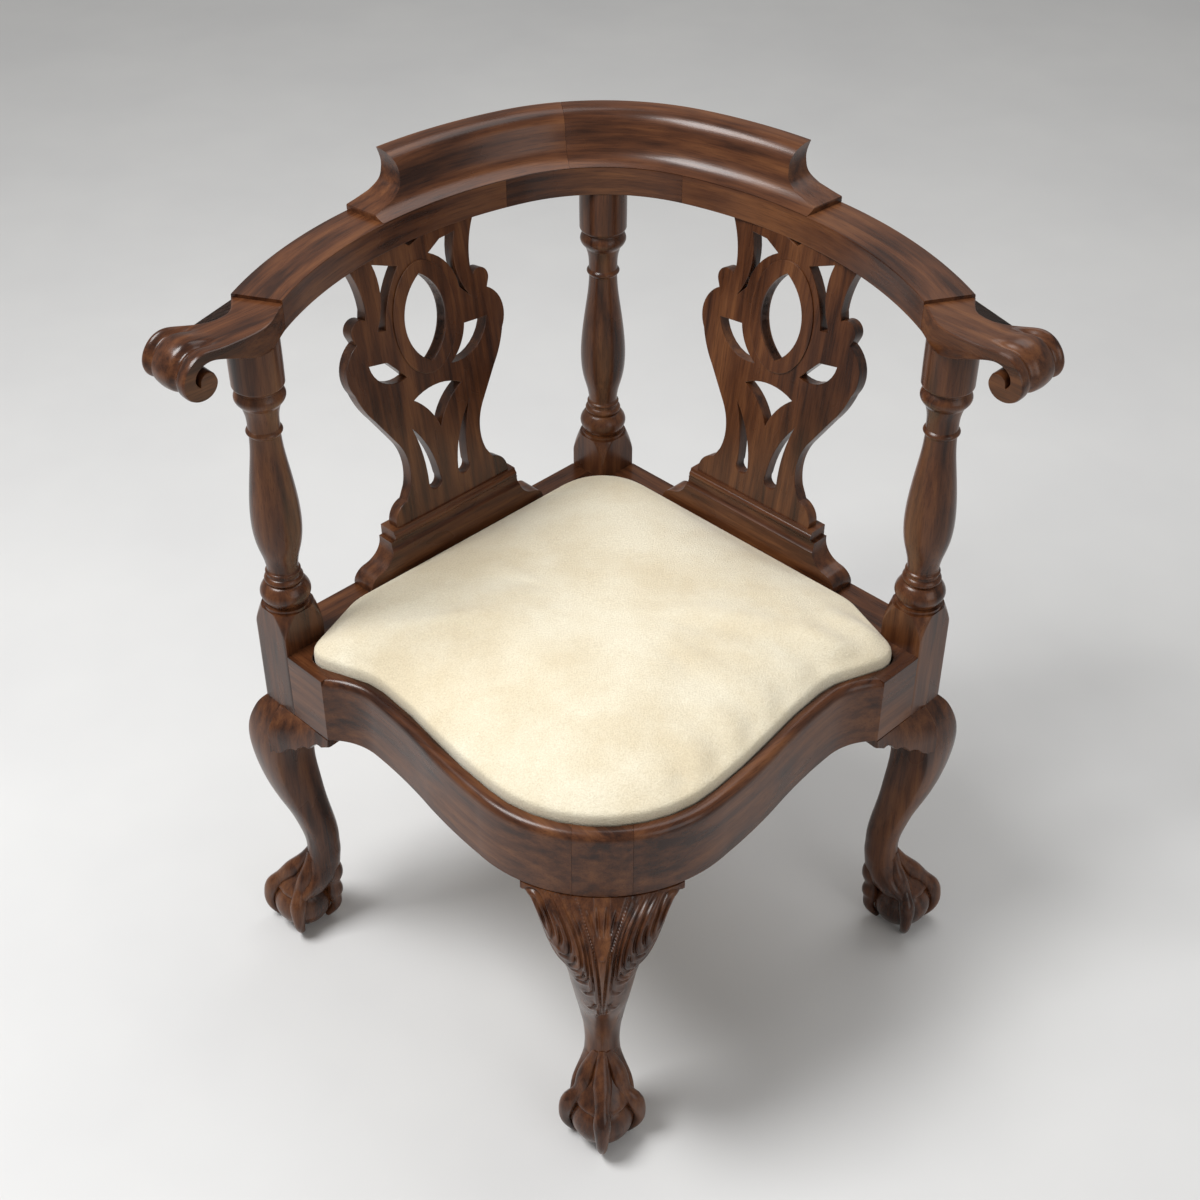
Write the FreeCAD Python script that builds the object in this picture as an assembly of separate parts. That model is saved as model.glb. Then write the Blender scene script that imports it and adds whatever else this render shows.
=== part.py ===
"""Corner chair with a C-shaped arm rail, pierced splats and a loose drop-in seat.

Millimetres, +Z up. The chair stands with one corner to the front, which is -Y. The origin is on
the floor, in the middle of the chair's box. All wood pieces are joined dry, face to face and
tenon in mortise, and the seat lifts straight out of its rebate.
"""
import math
import os

import FreeCAD
import Part
from FreeCAD import Placement, Rotation, Vector

ROOT2 = math.sqrt(2.0)
UP = Vector(0, 0, 1)
ORIGIN = Vector(0, 0, 0)
flatness = 1e-6

# Posts, rails and their heights
post_reach = 305.0
post_side = 47.0
rail_bottom = 325.0
rail_height = 75.5
rebate_depth = 14.0
block_rise = 43.5
tenon_length = 17.5
tenon_thick = 10.0
tenon_margin = 13.0

# Rounded front corner and the serpentine front rails
nose_radius = 147.0
nose_setback = 62.6
nose_meet_angle = 5.05
block_flat = 52.2
serpentine_depth = 19.6
serpentine_shape = ((0.124, 0.84), (0.243, 1.0), (0.413, 0.87), (0.642, 0.50), (0.85, 0.20))
front_edge_ease = 6.0
stump_width = 54.4
stump_depth = 46.6
stump_tenon = 18.0

# Opening for the seat
front_land = 13.5
back_land = 32.2
side_clear = 33.0
side_cut_angle = 24.4
back_round = 60.0
side_round = 34.0
tip_round = 14.0
seat_gap = 1.7

# Cabriole legs: share of the way from ankle to rail, reach beyond the post axis outwards and
# inwards, half width across, fullness of the section's sides
ankle_height = 105.0
knee_shape = (
    (1.00, 33.2, 33.2, 33.2, 0.51),
    (0.886, 51.0, 22.0, 34.0, 0.55),
    (0.777, 57.0, 12.0, 34.5, 0.58),
    (0.614, 54.0, 8.0, 32.0, 0.60),
    (0.459, 44.0, 11.0, 27.5, 0.62),
    (0.295, 27.0, 16.0, 22.5, 0.64),
    (0.136, 16.0, 21.0, 18.5, 0.67),
    (0.00, 13.5, 21.0, 17.0, 0.69),
)
front_knee_swell = ((17.8, 30.0), (41.0, 22.0))
foot_shape = ((84.0, 21.0, 19.0, 18.5, 0.68), (66.0, 37.0, 14.5, 22.0, 0.66), (50.0, 46.0, 2.0, 19.0, 0.66))

# Ball and claw
foot_reach = 26.0
front_leg_inset = 46.7
ball_radius = 31.0
ball_height = 29.6
claw_offset = 3.0
claw_turns = (60.0, 42.0, 23.0, 3.0, -17.0, -36.0, -54.0)
claw_radii = (8.0, 7.0, 8.5, 6.8, 7.5, 5.5, 3.5)
claw_sides = 6
ball_sides = 16
ball_steps = 6
ball_top_latitude = 70.0

# Knee blocks
knee_block_length = 52.0
knee_block_drop = 56.0
knee_block_tip = 6.0
ear_reach = 74.0
ear_drop = 62.0

# Turned columns
column_radius = 24.1
column_tenon_radius = 12.0
column_tenon_length = 18.0
column_sides = 16
tongue_facet = 22.0
shoulder_reach = 25.2

# Arm rail
arm_bottom = 734.5
arm_thick = 29.5
arm_width = 48.5
back_arc_radius = 190.0
arc_meet_angle = 62.0
hand_step_back = 18.0
hand_step_drop = 3.5
right_joint_inner_x = 77.0
left_joint_inner_x = 94.0

# Crest
crest_rise = 48.5
crest_foot_length = 40.0
crest_foot_thick = 5.5
right_tip_azimuth = 50.5
left_tip_azimuth = 46.0
seam_angle = 11.4

# Shoes and splats
shoe_height = 58.0
shoe_top_half = 82.5
shoe_foot_half = 118.0
shoe_front_set = 6.3
splat_thick = 13.0
splat_front_set = 1.2
splat_bead_height = 47.8
splat_drawn_height = 289.4
tongue_thick = 6.5
tongue_depth = 12.0
tongue_half = 58.0

# Corner blocks
corner_leg = 58.0
corner_height = 46.0

# Drop-in seat
ledge_gap = 0.3
cover_thick = 2.0
turn_under = 18.0
slip_rail_width = 56.0
slip_rail_thick = 20.0
strap_width = 50.0
strap_pitch = 92.0
strap_thick = 1.5
base_cloth_thick = 1.0
crown_height = 32.0
crown_scales = (1.0, 0.985, 0.94, 0.84, 0.62, 0.22)
inner_crown_scales = (1.0, 0.94, 0.62, 0.22)
fabric_facet = 0.7
crown_power = 4.0
crown_bluntness = 0.45

# Derived places
half_post = post_side / 2
rail_middle = post_reach / ROOT2
rail_out = rail_middle + half_post
rail_in = rail_middle - half_post
post_face = rail_middle - half_post
rail_top = rail_bottom + rail_height
rebate_floor = rail_top - rebate_depth
block_top = rail_top + block_rise
arm_top = arm_bottom + arm_thick
front_reach = rail_out * ROOT2 - nose_setback
nose_centre = Vector(0, -(front_reach - nose_radius), 0)
front_axis = post_reach - front_leg_inset
claw_arc = ball_radius + claw_offset
claw_reach = max(
    claw_arc * math.cos(math.radians(turn)) + radius for turn, radius in zip(claw_turns, claw_radii)
)
seat_shift = -(foot_reach + post_reach + claw_reach - (front_axis + foot_reach + claw_reach)) / 2
splat_base = rail_top + splat_bead_height


# Outlines

def flat(x, y):
    """A plan point."""
    return Vector(x, y, 0)


def upright(x, z):
    """A point of a section that stands on the X axis."""
    return Vector(x, 0, z)


def front_left(u, d, z=0.0):
    """A point by its place along the front left rail and its distance out from the seat centre."""
    return Vector((u - d) / ROOT2, -(u + d) / ROOT2, z)


def back_right(u, d, z=0.0):
    """The same for the back right rail, with u growing towards the right post."""
    return Vector((d + u) / ROOT2, (d - u) / ROOT2, z)


def polar(centre, radius, angle, z=0.0):
    """The point at an angle in degrees from +X round a plan centre."""
    turn = math.radians(angle)
    return Vector(centre.x + radius * math.cos(turn), centre.y + radius * math.sin(turn), z)


def chain(start, *stretches, place=flat):
    """Edges from start: a stretch of one point is a line to it, of two an arc through the first."""
    edges = []
    here = place(*start)
    for stretch in stretches:
        points = [here] + [place(*point) for point in stretch]
        curve = Part.LineSegment(*points) if len(points) == 2 else Part.Arc(*points)
        edges.append(curve.toShape())
        here = points[-1]
    return edges


def region(start, *stretches, place=flat):
    """The face inside a chain, closed by a line where it does not end at its start."""
    edges = chain(start, *stretches, place=place)
    last = place(*stretches[-1][-1])
    first = place(*start)
    if last.distanceToPoint(first) > 1e-6:
        edges.append(Part.LineSegment(last, first).toShape())
    return Part.Face(Part.Wire(edges))


def polygon(points):
    """The face of a closed polygon of vectors."""
    return Part.Face(Part.makePolygon(list(points) + [points[0]]))


def stacked(rings):
    """A solid through rings of as many points each, with flat facets between them."""
    faces = [polygon(rings[0]), polygon(rings[-1])]
    for low, high in zip(rings, rings[1:]):
        for index, first in enumerate(low):
            after = (index + 1) % len(low)
            second, third, fourth = low[after], high[after], high[index]
            square = (second - first).cross(fourth - first).normalize()
            if abs(square.dot(third - first)) < flatness:
                faces.append(polygon([first, second, third, fourth]))
            else:
                faces += [polygon([first, second, third]), polygon([first, third, fourth])]
    skin = Part.Shell(faces)
    skin.sewShape()
    return Part.Solid(skin)


def joined(points):
    """Stretches of one point each: straight runs from point to point."""
    return [[point] for point in points]


def slab(bottom, top, reach=700.0):
    """Everything between two heights."""
    return Part.makeBox(2 * reach, 2 * reach, top - bottom, Vector(-reach, -reach, bottom))


def one(shape):
    """The single solid of a shape, its coplanar faces joined."""
    whole = shape.removeSplitter()
    if len(whole.Solids) != 1:
        raise ValueError("expected one solid, got %d" % len(whole.Solids))
    return whole.Solids[0]


def mirrored(shape):
    """The same piece on the other side of the chair."""
    return shape.mirror(ORIGIN, Vector(1, 0, 0))


def turned(shape, angle):
    """The shape turned about the vertical through the seat centre."""
    return shape.rotated(ORIGIN, UP, angle)


# Serpentine line of the front rails and the outline of the seat opening

def nose_point(radius, angle):
    """A point of the rounded front corner, by its angle from the front, positive to the left."""
    return polar(nose_centre, radius, -90.0 - angle)


def serpentine_points(face, start_u):
    """Points (u, d) of the hollow between the flat block and the nose, for a rail face at d."""
    meet = nose_point(nose_radius - (rail_out - face), 45.0 + nose_meet_angle)
    end_u = (meet.x - meet.y) / ROOT2
    span = end_u - start_u
    points = [(start_u + share * span, face - deep * serpentine_depth) for share, deep in serpentine_shape]
    return points + [(end_u, -(meet.x + meet.y) / ROOT2)]


flat_end = -post_face + block_flat
stump_angle = math.degrees(math.asin(stump_width / 2 / nose_radius))


def outer_front_edges():
    """Outer edge of the front left rail from the post to the stump."""
    points = serpentine_points(rail_out, flat_end)
    middle = nose_point(nose_radius, (45.0 + nose_meet_angle + stump_angle) / 2)
    wave = chain(
        (-post_face, rail_out),
        [(flat_end, rail_out)],
        points[0:2],
        points[2:4],
        points[4:6],
        place=front_left,
    )
    nose = Part.Arc(front_left(*points[-1]), middle, nose_point(nose_radius, stump_angle))
    return wave + [nose.toShape()]


def meeting(normal_a, distance_a, normal_b, distance_b):
    """Where two plan lines meet, each given by its outward normal and its distance from the centre."""
    det = normal_a.x * normal_b.y - normal_a.y * normal_b.x
    x = (distance_a * normal_b.y - distance_b * normal_a.y) / det
    y = (normal_a.x * distance_b - normal_b.x * distance_a) / det
    return Vector(x, y, 0)


def rounding(before, corner, after, radius):
    """Start, middle and end of the arc that rounds a corner."""
    to_before = (before - corner).normalize()
    to_after = (after - corner).normalize()
    half_angle = to_before.getAngle(to_after) / 2
    run = radius / math.tan(half_angle)
    axis = (to_before + to_after).normalize()
    middle = corner + axis * (radius / math.sin(half_angle) - radius)
    return corner + to_before * run, middle, corner + to_after * run


def seat_wire(inset):
    """Outline of the seat opening drawn in by inset."""
    back = polar(ORIGIN, 1.0, 135.0)
    side = polar(ORIGIN, 1.0, 180.0 - side_cut_angle)
    front = polar(ORIGIN, 1.0, 225.0)
    back_at = rail_out - back_land - inset
    side_at = post_reach * math.cos(math.radians(side_cut_angle)) - side_clear - inset
    front_at = rail_out - front_land - inset
    top = Vector(0, back_at * ROOT2, 0)
    left = meeting(back, back_at, side, side_at)
    tip = meeting(side, side_at, front, front_at)
    bend = flat_end - front_land - inset
    top_arc = rounding(mirrored_point(left), top, left, back_round - inset)
    left_arc = rounding(top, left, tip, side_round - inset)
    tip_arc = rounding(left, tip, front_left(bend, front_at), tip_round - inset / 2)
    hollow = serpentine_points(front_at, flat_end)
    wave = chain(
        (bend, front_at),
        [(bend + front_land * 0.45, front_at - serpentine_depth * 0.045),
         (flat_end - front_land * 0.22, front_at - serpentine_depth * 0.21)],
        hollow[0:2],
        hollow[2:4],
        hollow[4:6],
        place=front_left,
    )
    half = [
        Part.Arc(*left_arc).toShape(),
        Part.LineSegment(left_arc[2], tip_arc[0]).toShape(),
        Part.Arc(*tip_arc).toShape(),
        Part.LineSegment(tip_arc[2], front_left(bend, front_at)).toShape(),
    ] + wave
    last = front_left(*hollow[-1])
    nose = Part.Arc(last, nose_point(nose_radius - (rail_out - front_at), 0), mirrored_point(last))
    edges = [Part.Arc(*top_arc).toShape(), Part.LineSegment(top_arc[2], left_arc[0]).toShape()]
    edges += half + [nose.toShape()] + [mirrored(edge) for edge in reversed(half)]
    edges.append(Part.LineSegment(mirrored_point(left_arc[0]), top_arc[0]).toShape())
    return Part.Wire(Part.__sortEdges__(edges))


def mirrored_point(point):
    """A plan point on the other side of the chair."""
    return Vector(-point.x, point.y, point.z)


def seat_prism(inset, bottom, top):
    """The seat opening drawn in by inset, between two heights."""
    face = Part.Face(seat_wire(inset)).translated(Vector(0, 0, bottom))
    return face.extrude(Vector(0, 0, top - bottom))


# Legs

def leg_section(axis, z, out, back, half_width, fullness):
    """A diamond with full sides, its long axis along X, round a leg axis at this distance."""
    middle_x = axis + (out - back) / 2
    ends = [
        Vector(axis + out, 0, z),
        Vector(middle_x, half_width, z),
        Vector(axis - back, 0, z),
        Vector(middle_x, -half_width, z),
    ]
    centre = Vector(middle_x, 0, z)
    points = []
    for index, corner in enumerate(ends):
        following = ends[(index + 1) % 4]
        points.append(corner)
        points.append(centre + ((corner - centre) + (following - centre)) * fullness)
    return points


def even_ring(sides, radius, z=0.0):
    """The corners of a regular polygon about the Z axis."""
    return [polar(ORIGIN, radius, 360.0 * side / sides, z) for side in range(sides)]


def claw():
    """One knuckled toe round the ball, in the XZ plane of the ball's centre."""
    rings = []
    for turn, radius in zip(claw_turns, claw_radii):
        spot = polar(ORIGIN, claw_arc, turn)
        place = Placement(Vector(spot.x, 0, spot.y), Rotation(Vector(0, 1, 0), -turn))
        rings.append([place.multVec(point) for point in even_ring(claw_sides, radius)])
    return stacked(rings)


def ball():
    """The ball, cut flat where it meets the floor, about its own centre."""
    low = -math.degrees(math.asin(ball_height / ball_radius))
    rings = []
    for step in range(ball_steps + 1):
        latitude = math.radians(low + (ball_top_latitude - low) * step / ball_steps)
        rings.append(even_ring(ball_sides, ball_radius * math.cos(latitude), ball_radius * math.sin(latitude)))
    return stacked(rings)


def ball_and_claw(axis):
    """A ball gripped by four toes, on the X axis at a distance from the seat centre."""
    centre = Vector(axis + foot_reach, 0, ball_height)
    toes = [claw().rotated(ORIGIN, UP, 90 * turn).translated(centre) for turn in range(4)]
    return ball().translated(centre).multiFuse(toes)


def cabriole(axis, knee_reaches):
    """Knee, shin, ankle and foot below the rails; knee_reaches replace the topmost two."""
    sections = []
    for index, (share, out, back, half_width, fullness) in enumerate(knee_shape):
        if index < len(knee_reaches):
            out, back = knee_reaches[index]
        z = ankle_height + share * (rail_bottom - ankle_height)
        sections.append(leg_section(axis, z, out, back, half_width, fullness))
    for z, out, back, half_width, fullness in foot_shape:
        sections.append(leg_section(axis, z, out, back, half_width, fullness))
    return stacked(sections).fuse(ball_and_claw(axis)).cut(slab(-100.0, 0.0))


def column():
    """The turned column from the post block to the arm, about the Z axis, with its tenon.

    A turned or carved form is a stack of many-sided rings, which keeps its facets few.
    """
    low = block_top
    high = arm_bottom
    bottom_mouldings = ((22.6, 0.0), (19.4, 4.5), (24.2, 12.0), (24.2, 21.0), (18.2, 28.0), (19.0, 31.5))
    bottom_ring = ((15.6, 37.5), (17.0, 39.5), (15.2, 43.0))
    vase = ((21.8, 75.0), (23.6, 96.0), (21.2, 130.0))
    top_mouldings = ((14.5, -100.0), (17.0, -94.5), (14.8, -89.0), (16.6, -67.5), (23.4, -60.5), (21.4, -50.0))
    points = [(radius, low + rise) for radius, rise in bottom_mouldings + bottom_ring + vase]
    points += [(radius, high + rise) for radius, rise in top_mouldings]
    points += [(column_radius, high - 47.5), (column_radius, high)]
    rings = [even_ring(column_sides, radius, z) for radius, z in points]
    return stacked(rings).fuse(column_tenon())


def column_tenon():
    """The round tenon on top of a column, about the Z axis."""
    levels = (arm_bottom, arm_bottom + column_tenon_length)
    return stacked([even_ring(column_sides, column_tenon_radius, z) for z in levels])


def post():
    """The square post beside the rails, each top corner cut back in a long slanting facet."""
    corner = half_post * ROOT2
    square = stacked([even_ring(4, corner, z) for z in (rail_bottom, block_top)])
    levels = ((corner, rail_bottom - 1.0), (corner, block_top - tongue_facet), (shoulder_reach, block_top))
    shoulder = stacked([even_ring(4, reach * ROOT2, z) for reach, z in levels])
    return square.common(turned(shoulder, 45))


def corner_leg_blank():
    """Foot, leg, post and column in one length of wood, on the X axis."""
    upper = post().fuse(column()).translated(Vector(post_reach, 0, 0))
    return one(upper.fuse(cabriole(post_reach, ())))


def nose_face(half_width, depth):
    """Plan of a block that ends in the rounded front."""
    angle = math.degrees(math.asin(half_width / nose_radius))
    left = nose_point(nose_radius, angle)
    back = -(front_reach - depth)
    edges = [
        Part.Arc(left, nose_point(nose_radius, 0), mirrored_point(left)).toShape(),
        Part.LineSegment(mirrored_point(left), Vector(half_width, back, 0)).toShape(),
        Part.LineSegment(Vector(half_width, back, 0), Vector(-half_width, back, 0)).toShape(),
        Part.LineSegment(Vector(-half_width, back, 0), left).toShape(),
    ]
    return Part.Face(Part.Wire(edges))


def eased_top(shape, picks):
    """Takes off the top edges that picks chooses."""
    edges = []
    for edge in shape.Edges:
        box = edge.BoundBox
        if abs(box.ZMin - rail_top) < 1e-4 and abs(box.ZMax - rail_top) < 1e-4 and picks(edge):
            edges.append(edge)
    return shape.makeChamfer(front_edge_ease, edges)


def edge_middle(edge):
    """The point halfway along an edge."""
    return edge.valueAt((edge.FirstParameter + edge.LastParameter) / 2)


def front_stump():
    """The square of the front leg between the rails, rounded in front."""
    stump = nose_face(stump_width / 2, stump_depth).translated(Vector(0, 0, rail_bottom))
    stump = stump.extrude(Vector(0, 0, rail_height))
    stump = eased_top(stump, lambda edge: edge_middle(edge).y < -front_reach + 1.0)
    return stump.cut(seat_prism(0.0, rebate_floor, rail_top + 1.0))


def front_leg_blank():
    """The front leg with its stump."""
    leg = turned(cabriole(front_axis, front_knee_swell), -90)
    return one(leg.fuse(front_stump()))


# Rails

def rail_tenon(place, sign):
    """The tenon of a rail's end into a post, on the side of u's sign."""
    ends = sorted((sign * (post_face - 5.0), sign * (post_face + tenon_length)))
    low = rail_middle - tenon_thick / 2
    high = rail_middle + tenon_thick / 2
    z = rail_bottom + tenon_margin
    corners = [place(ends[0], low, z), place(ends[1], low, z), place(ends[1], high, z), place(ends[0], high, z)]
    return polygon(corners).extrude(Vector(0, 0, rail_height - 2 * tenon_margin))


def front_left_rail():
    """Serpentine rail from the left post to the front stump."""
    half = stump_width / 2
    outer = outer_front_edges()
    stump_line = nose_point(nose_radius, math.degrees(math.asin(half / nose_radius)))
    inner = Vector(-half, -(rail_in * ROOT2 - half), 0)
    start = front_left(-post_face, rail_out)
    back = front_left(-post_face, rail_in)
    edges = outer + [
        Part.LineSegment(stump_line, inner).toShape(),
        Part.LineSegment(inner, back).toShape(),
        Part.LineSegment(back, start).toShape(),
    ]
    rail = Part.Face(Part.Wire(edges)).translated(Vector(0, 0, rail_bottom))
    rail = rail.extrude(Vector(0, 0, rail_height))
    nose_middle = edge_middle(outer[2])
    wave_middle = edge_middle(outer[1])

    def on_wave(edge):
        middle = edge_middle(edge)
        spot = Vector(middle.x, middle.y, 0)
        return min(spot.distanceToPoint(nose_middle), spot.distanceToPoint(wave_middle)) < 1.0

    rail = eased_top(rail, on_wave)
    tenon_y = (stump_line.y + inner.y) / 2
    stub = Part.makeBox(
        stump_tenon + 12.0,
        tenon_thick,
        rail_height - 2 * tenon_margin - rebate_depth,
        Vector(-half - 12.0, tenon_y - tenon_thick / 2, rail_bottom + tenon_margin),
    )
    rail = rail.fuse([rail_tenon(front_left, -1), stub])
    return one(rail.cut(seat_prism(0.0, rebate_floor, rail_top + 1.0)))


def back_right_rail():
    """Straight rail between the right post and the back post."""
    z = rail_bottom
    corners = [
        back_right(-post_face, rail_in, z),
        back_right(post_face, rail_in, z),
        back_right(post_face, rail_out, z),
        back_right(-post_face, rail_out, z),
    ]
    rail = polygon(corners).extrude(Vector(0, 0, rail_height))
    rail = rail.fuse([rail_tenon(back_right, -1), rail_tenon(back_right, 1)])
    return one(rail.cut(seat_prism(0.0, rebate_floor, rail_top + 1.0)))


# Knee blocks

def side_knee_block(leg):
    """The block under the front left rail, against the left leg, scalloped along its lower edge."""
    tip = -post_face + knee_block_length
    root = -rail_middle + 3.0
    low = rail_bottom - knee_block_drop
    reach = rail_out + 2.0
    back = rail_in + 14.0
    top_ring = [(root, back), (tip, back), (tip, reach), (root + 30.0, reach + 0.4), (root, reach + 5.0)]
    low_ring = [(root, back), (tip, back), (tip, reach), (root + 34.0, reach + 5.0), (root, reach + 17.0)]
    levels = ((top_ring, rail_bottom), (low_ring, low))
    body = stacked([[front_left(u, d, z) for u, d in ring] for ring, z in levels])
    drops = ((6.0, 7.0), (13.0, 11.5), (18.0, 21.0), (25.0, 20.5), (31.5, 24.5), (36.0, 33.0))
    scallops = [(tip - inward, rail_bottom - drop) for inward, drop in drops]
    edge = region(
        (root, rail_bottom),
        [(tip, rail_bottom)],
        *joined(((tip, rail_bottom - knee_block_tip), *scallops, (tip - 58.0, low), (root, low))),
        place=lambda u, z: front_left(u, rail_in, z),
    )
    scallop = edge.extrude(front_left(0, post_side + 30.0))
    in_front = Part.makeBox(post_reach * 2, post_reach, rail_top, Vector(-post_reach * 2, -post_reach, 0))
    return one(biggest(body.common([scallop]).common(in_front).cut(leg)))


def front_ear(leg):
    """The block under the front left rail, against the front leg."""
    low = rail_bottom - ear_drop
    middle = -front_reach

    def ring(z, swell):
        tip_y = nose_point(nose_radius, 30.2).y - 1.0
        points = [(-5.0, middle + 42.0), (-ear_reach, middle + 42.0), (-ear_reach, tip_y),
                  (-44.0, middle + 5.5 - swell * 0.3), (-22.0, middle + 0.6 - swell * 0.7),
                  (-5.0, middle - 1.0 - swell)]
        return [Vector(x, y, z) for x, y in points]

    body = stacked([ring(rail_bottom, 2.0), ring(low, 26.0)])
    edge = region(
        (-5.0, rail_bottom),
        [(-ear_reach, rail_bottom)],
        [(-ear_reach, rail_bottom - knee_block_tip)],
        [(-ear_reach + 8.0, rail_bottom - 14.0)],
        [(-53.0, rail_bottom - 36.0)],
        [(-44.0, rail_bottom - 54.0)],
        [(-40.0, low)],
        [(-5.0, low)],
        place=upright,
    )
    scallop = edge.extrude(Vector(0, -400.0, 0))
    return one(biggest(body.common(scallop).cut(leg)))


def biggest(shape):
    """The largest solid of a shape."""
    return max(shape.Solids, key=lambda solid: solid.Volume)


# Arm rail and crest

back_centre = Vector(0, post_reach - back_arc_radius, 0)


def side_arc():
    """Centre and radius of the arm's side arc: it runs on from the back arc over the side column."""
    along = polar(ORIGIN, 1.0, arc_meet_angle)
    gap = Vector(post_reach, 0, 0) - back_centre
    growth = (gap.Length ** 2 - back_arc_radius ** 2) / (2 * (back_arc_radius - gap.dot(along)))
    return back_centre - along * growth, back_arc_radius + growth


side_centre, side_radius = side_arc()
step_angle = math.degrees(math.asin((hand_step_back - side_centre.y) / side_radius))


def arm_reach(azimuth):
    """Distance from the seat centre to the middle of the right arm's side arc, at an azimuth."""
    along = polar(ORIGIN, 1.0, azimuth).dot(side_centre)
    return along + math.sqrt(along ** 2 + side_radius ** 2 - side_centre.Length ** 2)


def side_angle(azimuth):
    """Angle about the side arc's centre for an azimuth about the seat centre."""
    spot = polar(ORIGIN, arm_reach(azimuth), azimuth) - side_centre
    return math.degrees(math.atan2(spot.y, spot.x))


def swept(section, centre, radius, start, end):
    """A section of (distance from the inner edge, height) carried round a vertical axis."""
    face = section(lambda e, h: polar(centre, radius - arm_width / 2 + e, start, arm_top + h))
    return face.revolve(centre, UP, end - start)


def along_arm(section, right_start, left_start):
    """A section carried along the whole C, from angles on the right and left side arcs."""
    right = swept(section, side_centre, side_radius, right_start, arc_meet_angle)
    left = swept(section, side_centre, side_radius, left_start, arc_meet_angle)
    back = swept(section, back_centre, back_arc_radius, arc_meet_angle, 180.0 - arc_meet_angle)
    return one(right.fuse([back, mirrored(left)]))


def arm_section(place):
    """Rectangle of the arm rail."""
    return region((0.0, 0.0), [(arm_width, 0.0)], [(arm_width, -arm_thick)], [(0.0, -arm_thick)], place=place)


def crest_section(place):
    """Crest: a cove up from the arm, a face that leans back, and a rolled top edge."""
    top = crest_rise
    cove = [(7.0, 3.0), (14.5, 8.5), (19.2, 19.5)]
    roll = [(23.5, top - 15.0), (28.0, top - 6.0), (36.0, top - 1.8), (arm_width, top)]
    return region((0.0, 0.0), *joined(cove + roll + [(arm_width, 0.0)]), place=place)


def wedge(start, end):
    """Everything between two directions about the back arc's centre."""
    reach = 1200.0
    points = [back_centre, polar(back_centre, reach, start)]
    points += [polar(back_centre, reach, (start + end) / 2), polar(back_centre, reach, end)]
    return polygon(points).extrude(Vector(0, 0, 1000.0))


def joint_angle(inner_x, centre, radius):
    """Direction about the back arc's centre of an arm joint, by where it meets the inner edge."""
    inner = radius - arm_width / 2
    y = centre.y + math.sqrt(inner ** 2 - (inner_x - centre.x) ** 2)
    return math.degrees(math.atan2(y - back_centre.y, inner_x))


right_joint = joint_angle(right_joint_inner_x, back_centre, back_arc_radius)
left_joint = 180.0 - joint_angle(left_joint_inner_x, side_centre, side_radius)


def hand_hold():
    """The right hand-hold: a block that turns outwards, rolled over and under into a scroll."""
    inner = polar(side_centre, side_radius - arm_width / 2, step_angle)
    outer = polar(side_centre, side_radius + arm_width / 2, step_angle)
    post_x = post_reach

    def beside(s, a):
        return (post_x + (s + a) / ROOT2, (a - s) / ROOT2)

    plan = region(
        (inner.x, inner.y),
        [(post_x - 25.0, -14.0), (post_x - 20.6, -26.5)],
        [beside(24.5, -36.7)],
        [beside(104.0, -36.7)],
        [beside(104.0, 25.3)],
        [beside(74.3, 25.3)],
        [(post_x + 50.0, -25.4), (post_x + 33.0, -19.0)],
        [(post_x + 21.0, -6.0), (outer.x, outer.y)],
    )
    top = arm_top - hand_step_drop
    side = region(
        (-45.0, top),
        [(46.0, top)],
        [(60.0, top + 1.6)],
        [(80.0, top - 1.4), (92.0, top - 13.0)],
        [(94.0, top - 31.0), (79.0, top - 41.0)],
        [(63.5, top - 36.5), (61.2, top - 26.0)],
        [(66.5, top - 18.0)],
        [(64.0, top - 11.8), (57.0, top - 10.6)],
        [(40.0, top - 17.0), (24.0, arm_bottom)],
        [(-45.0, arm_bottom)],
        place=lambda s, z: Vector(post_x + (s - 60.0) / ROOT2, (-60.0 - s) / ROOT2, z),
    )
    block = plan.translated(Vector(0, 0, arm_bottom - 60.0)).extrude(Vector(0, 0, 120.0))
    scroll = side.extrude(Vector(120.0 / ROOT2, 120.0 / ROOT2, 0))
    return block.common(scroll)


def arms():
    """Left arm, right arm and the block between them, with mortises for what stands under them."""
    rail = along_arm(arm_section, step_angle, step_angle)
    right = rail.common(wedge(-50.0, right_joint)).fuse(hand_hold())
    left = rail.common(wedge(left_joint, 230.0)).fuse(mirrored(hand_hold()))
    middle = rail.common(wedge(right_joint, left_joint))
    mortise = column_tenon().translated(Vector(post_reach, 0, 0))
    right = right.cut(mortise)
    left = left.cut(mirrored(mortise))
    middle = middle.cut(turned(mortise, 90))
    return one(left), one(right), one(middle)


def scoop(azimuth):
    """What is cut off the crest outside its right tip: a hollow end with a thin foot."""
    angle = side_angle(azimuth)
    spot = polar(side_centre, side_radius, angle)
    along = polar(ORIGIN, 1.0, angle - 90.0)
    out = polar(ORIGIN, 1.0, angle)
    high = arm_top + crest_rise
    foot = arm_top + crest_foot_thick
    away = 400.0

    def place(t, z):
        return spot + along * t - out * 60.0 + Vector(0, 0, z)

    gone = region(
        (0.0, high + 10.0),
        [(0.0, high)],
        [(-4.2, high - 17.0), (0.0, high - 31.5)],
        [(13.0, high - 39.0), (crest_foot_length, foot)],
        [(crest_foot_length, arm_top - 1.0)],
        [(away, arm_top - 1.0)],
        [(away, high + 10.0)],
        place=place,
    )
    return gone.extrude(out * 120.0)


def crests():
    """Both halves of the crest, parted at a seam left of the middle."""
    start = side_angle(min(right_tip_azimuth, left_tip_azimuth)) - 12.0
    whole = along_arm(crest_section, start, start)
    whole = whole.cut([scoop(right_tip_azimuth), mirrored(scoop(left_tip_azimuth))])
    seam = 90.0 + seam_angle
    left = biggest(whole.common(wedge(seam, 230.0)))
    right = biggest(whole.common(wedge(-50.0, seam)))
    return left, right


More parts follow.
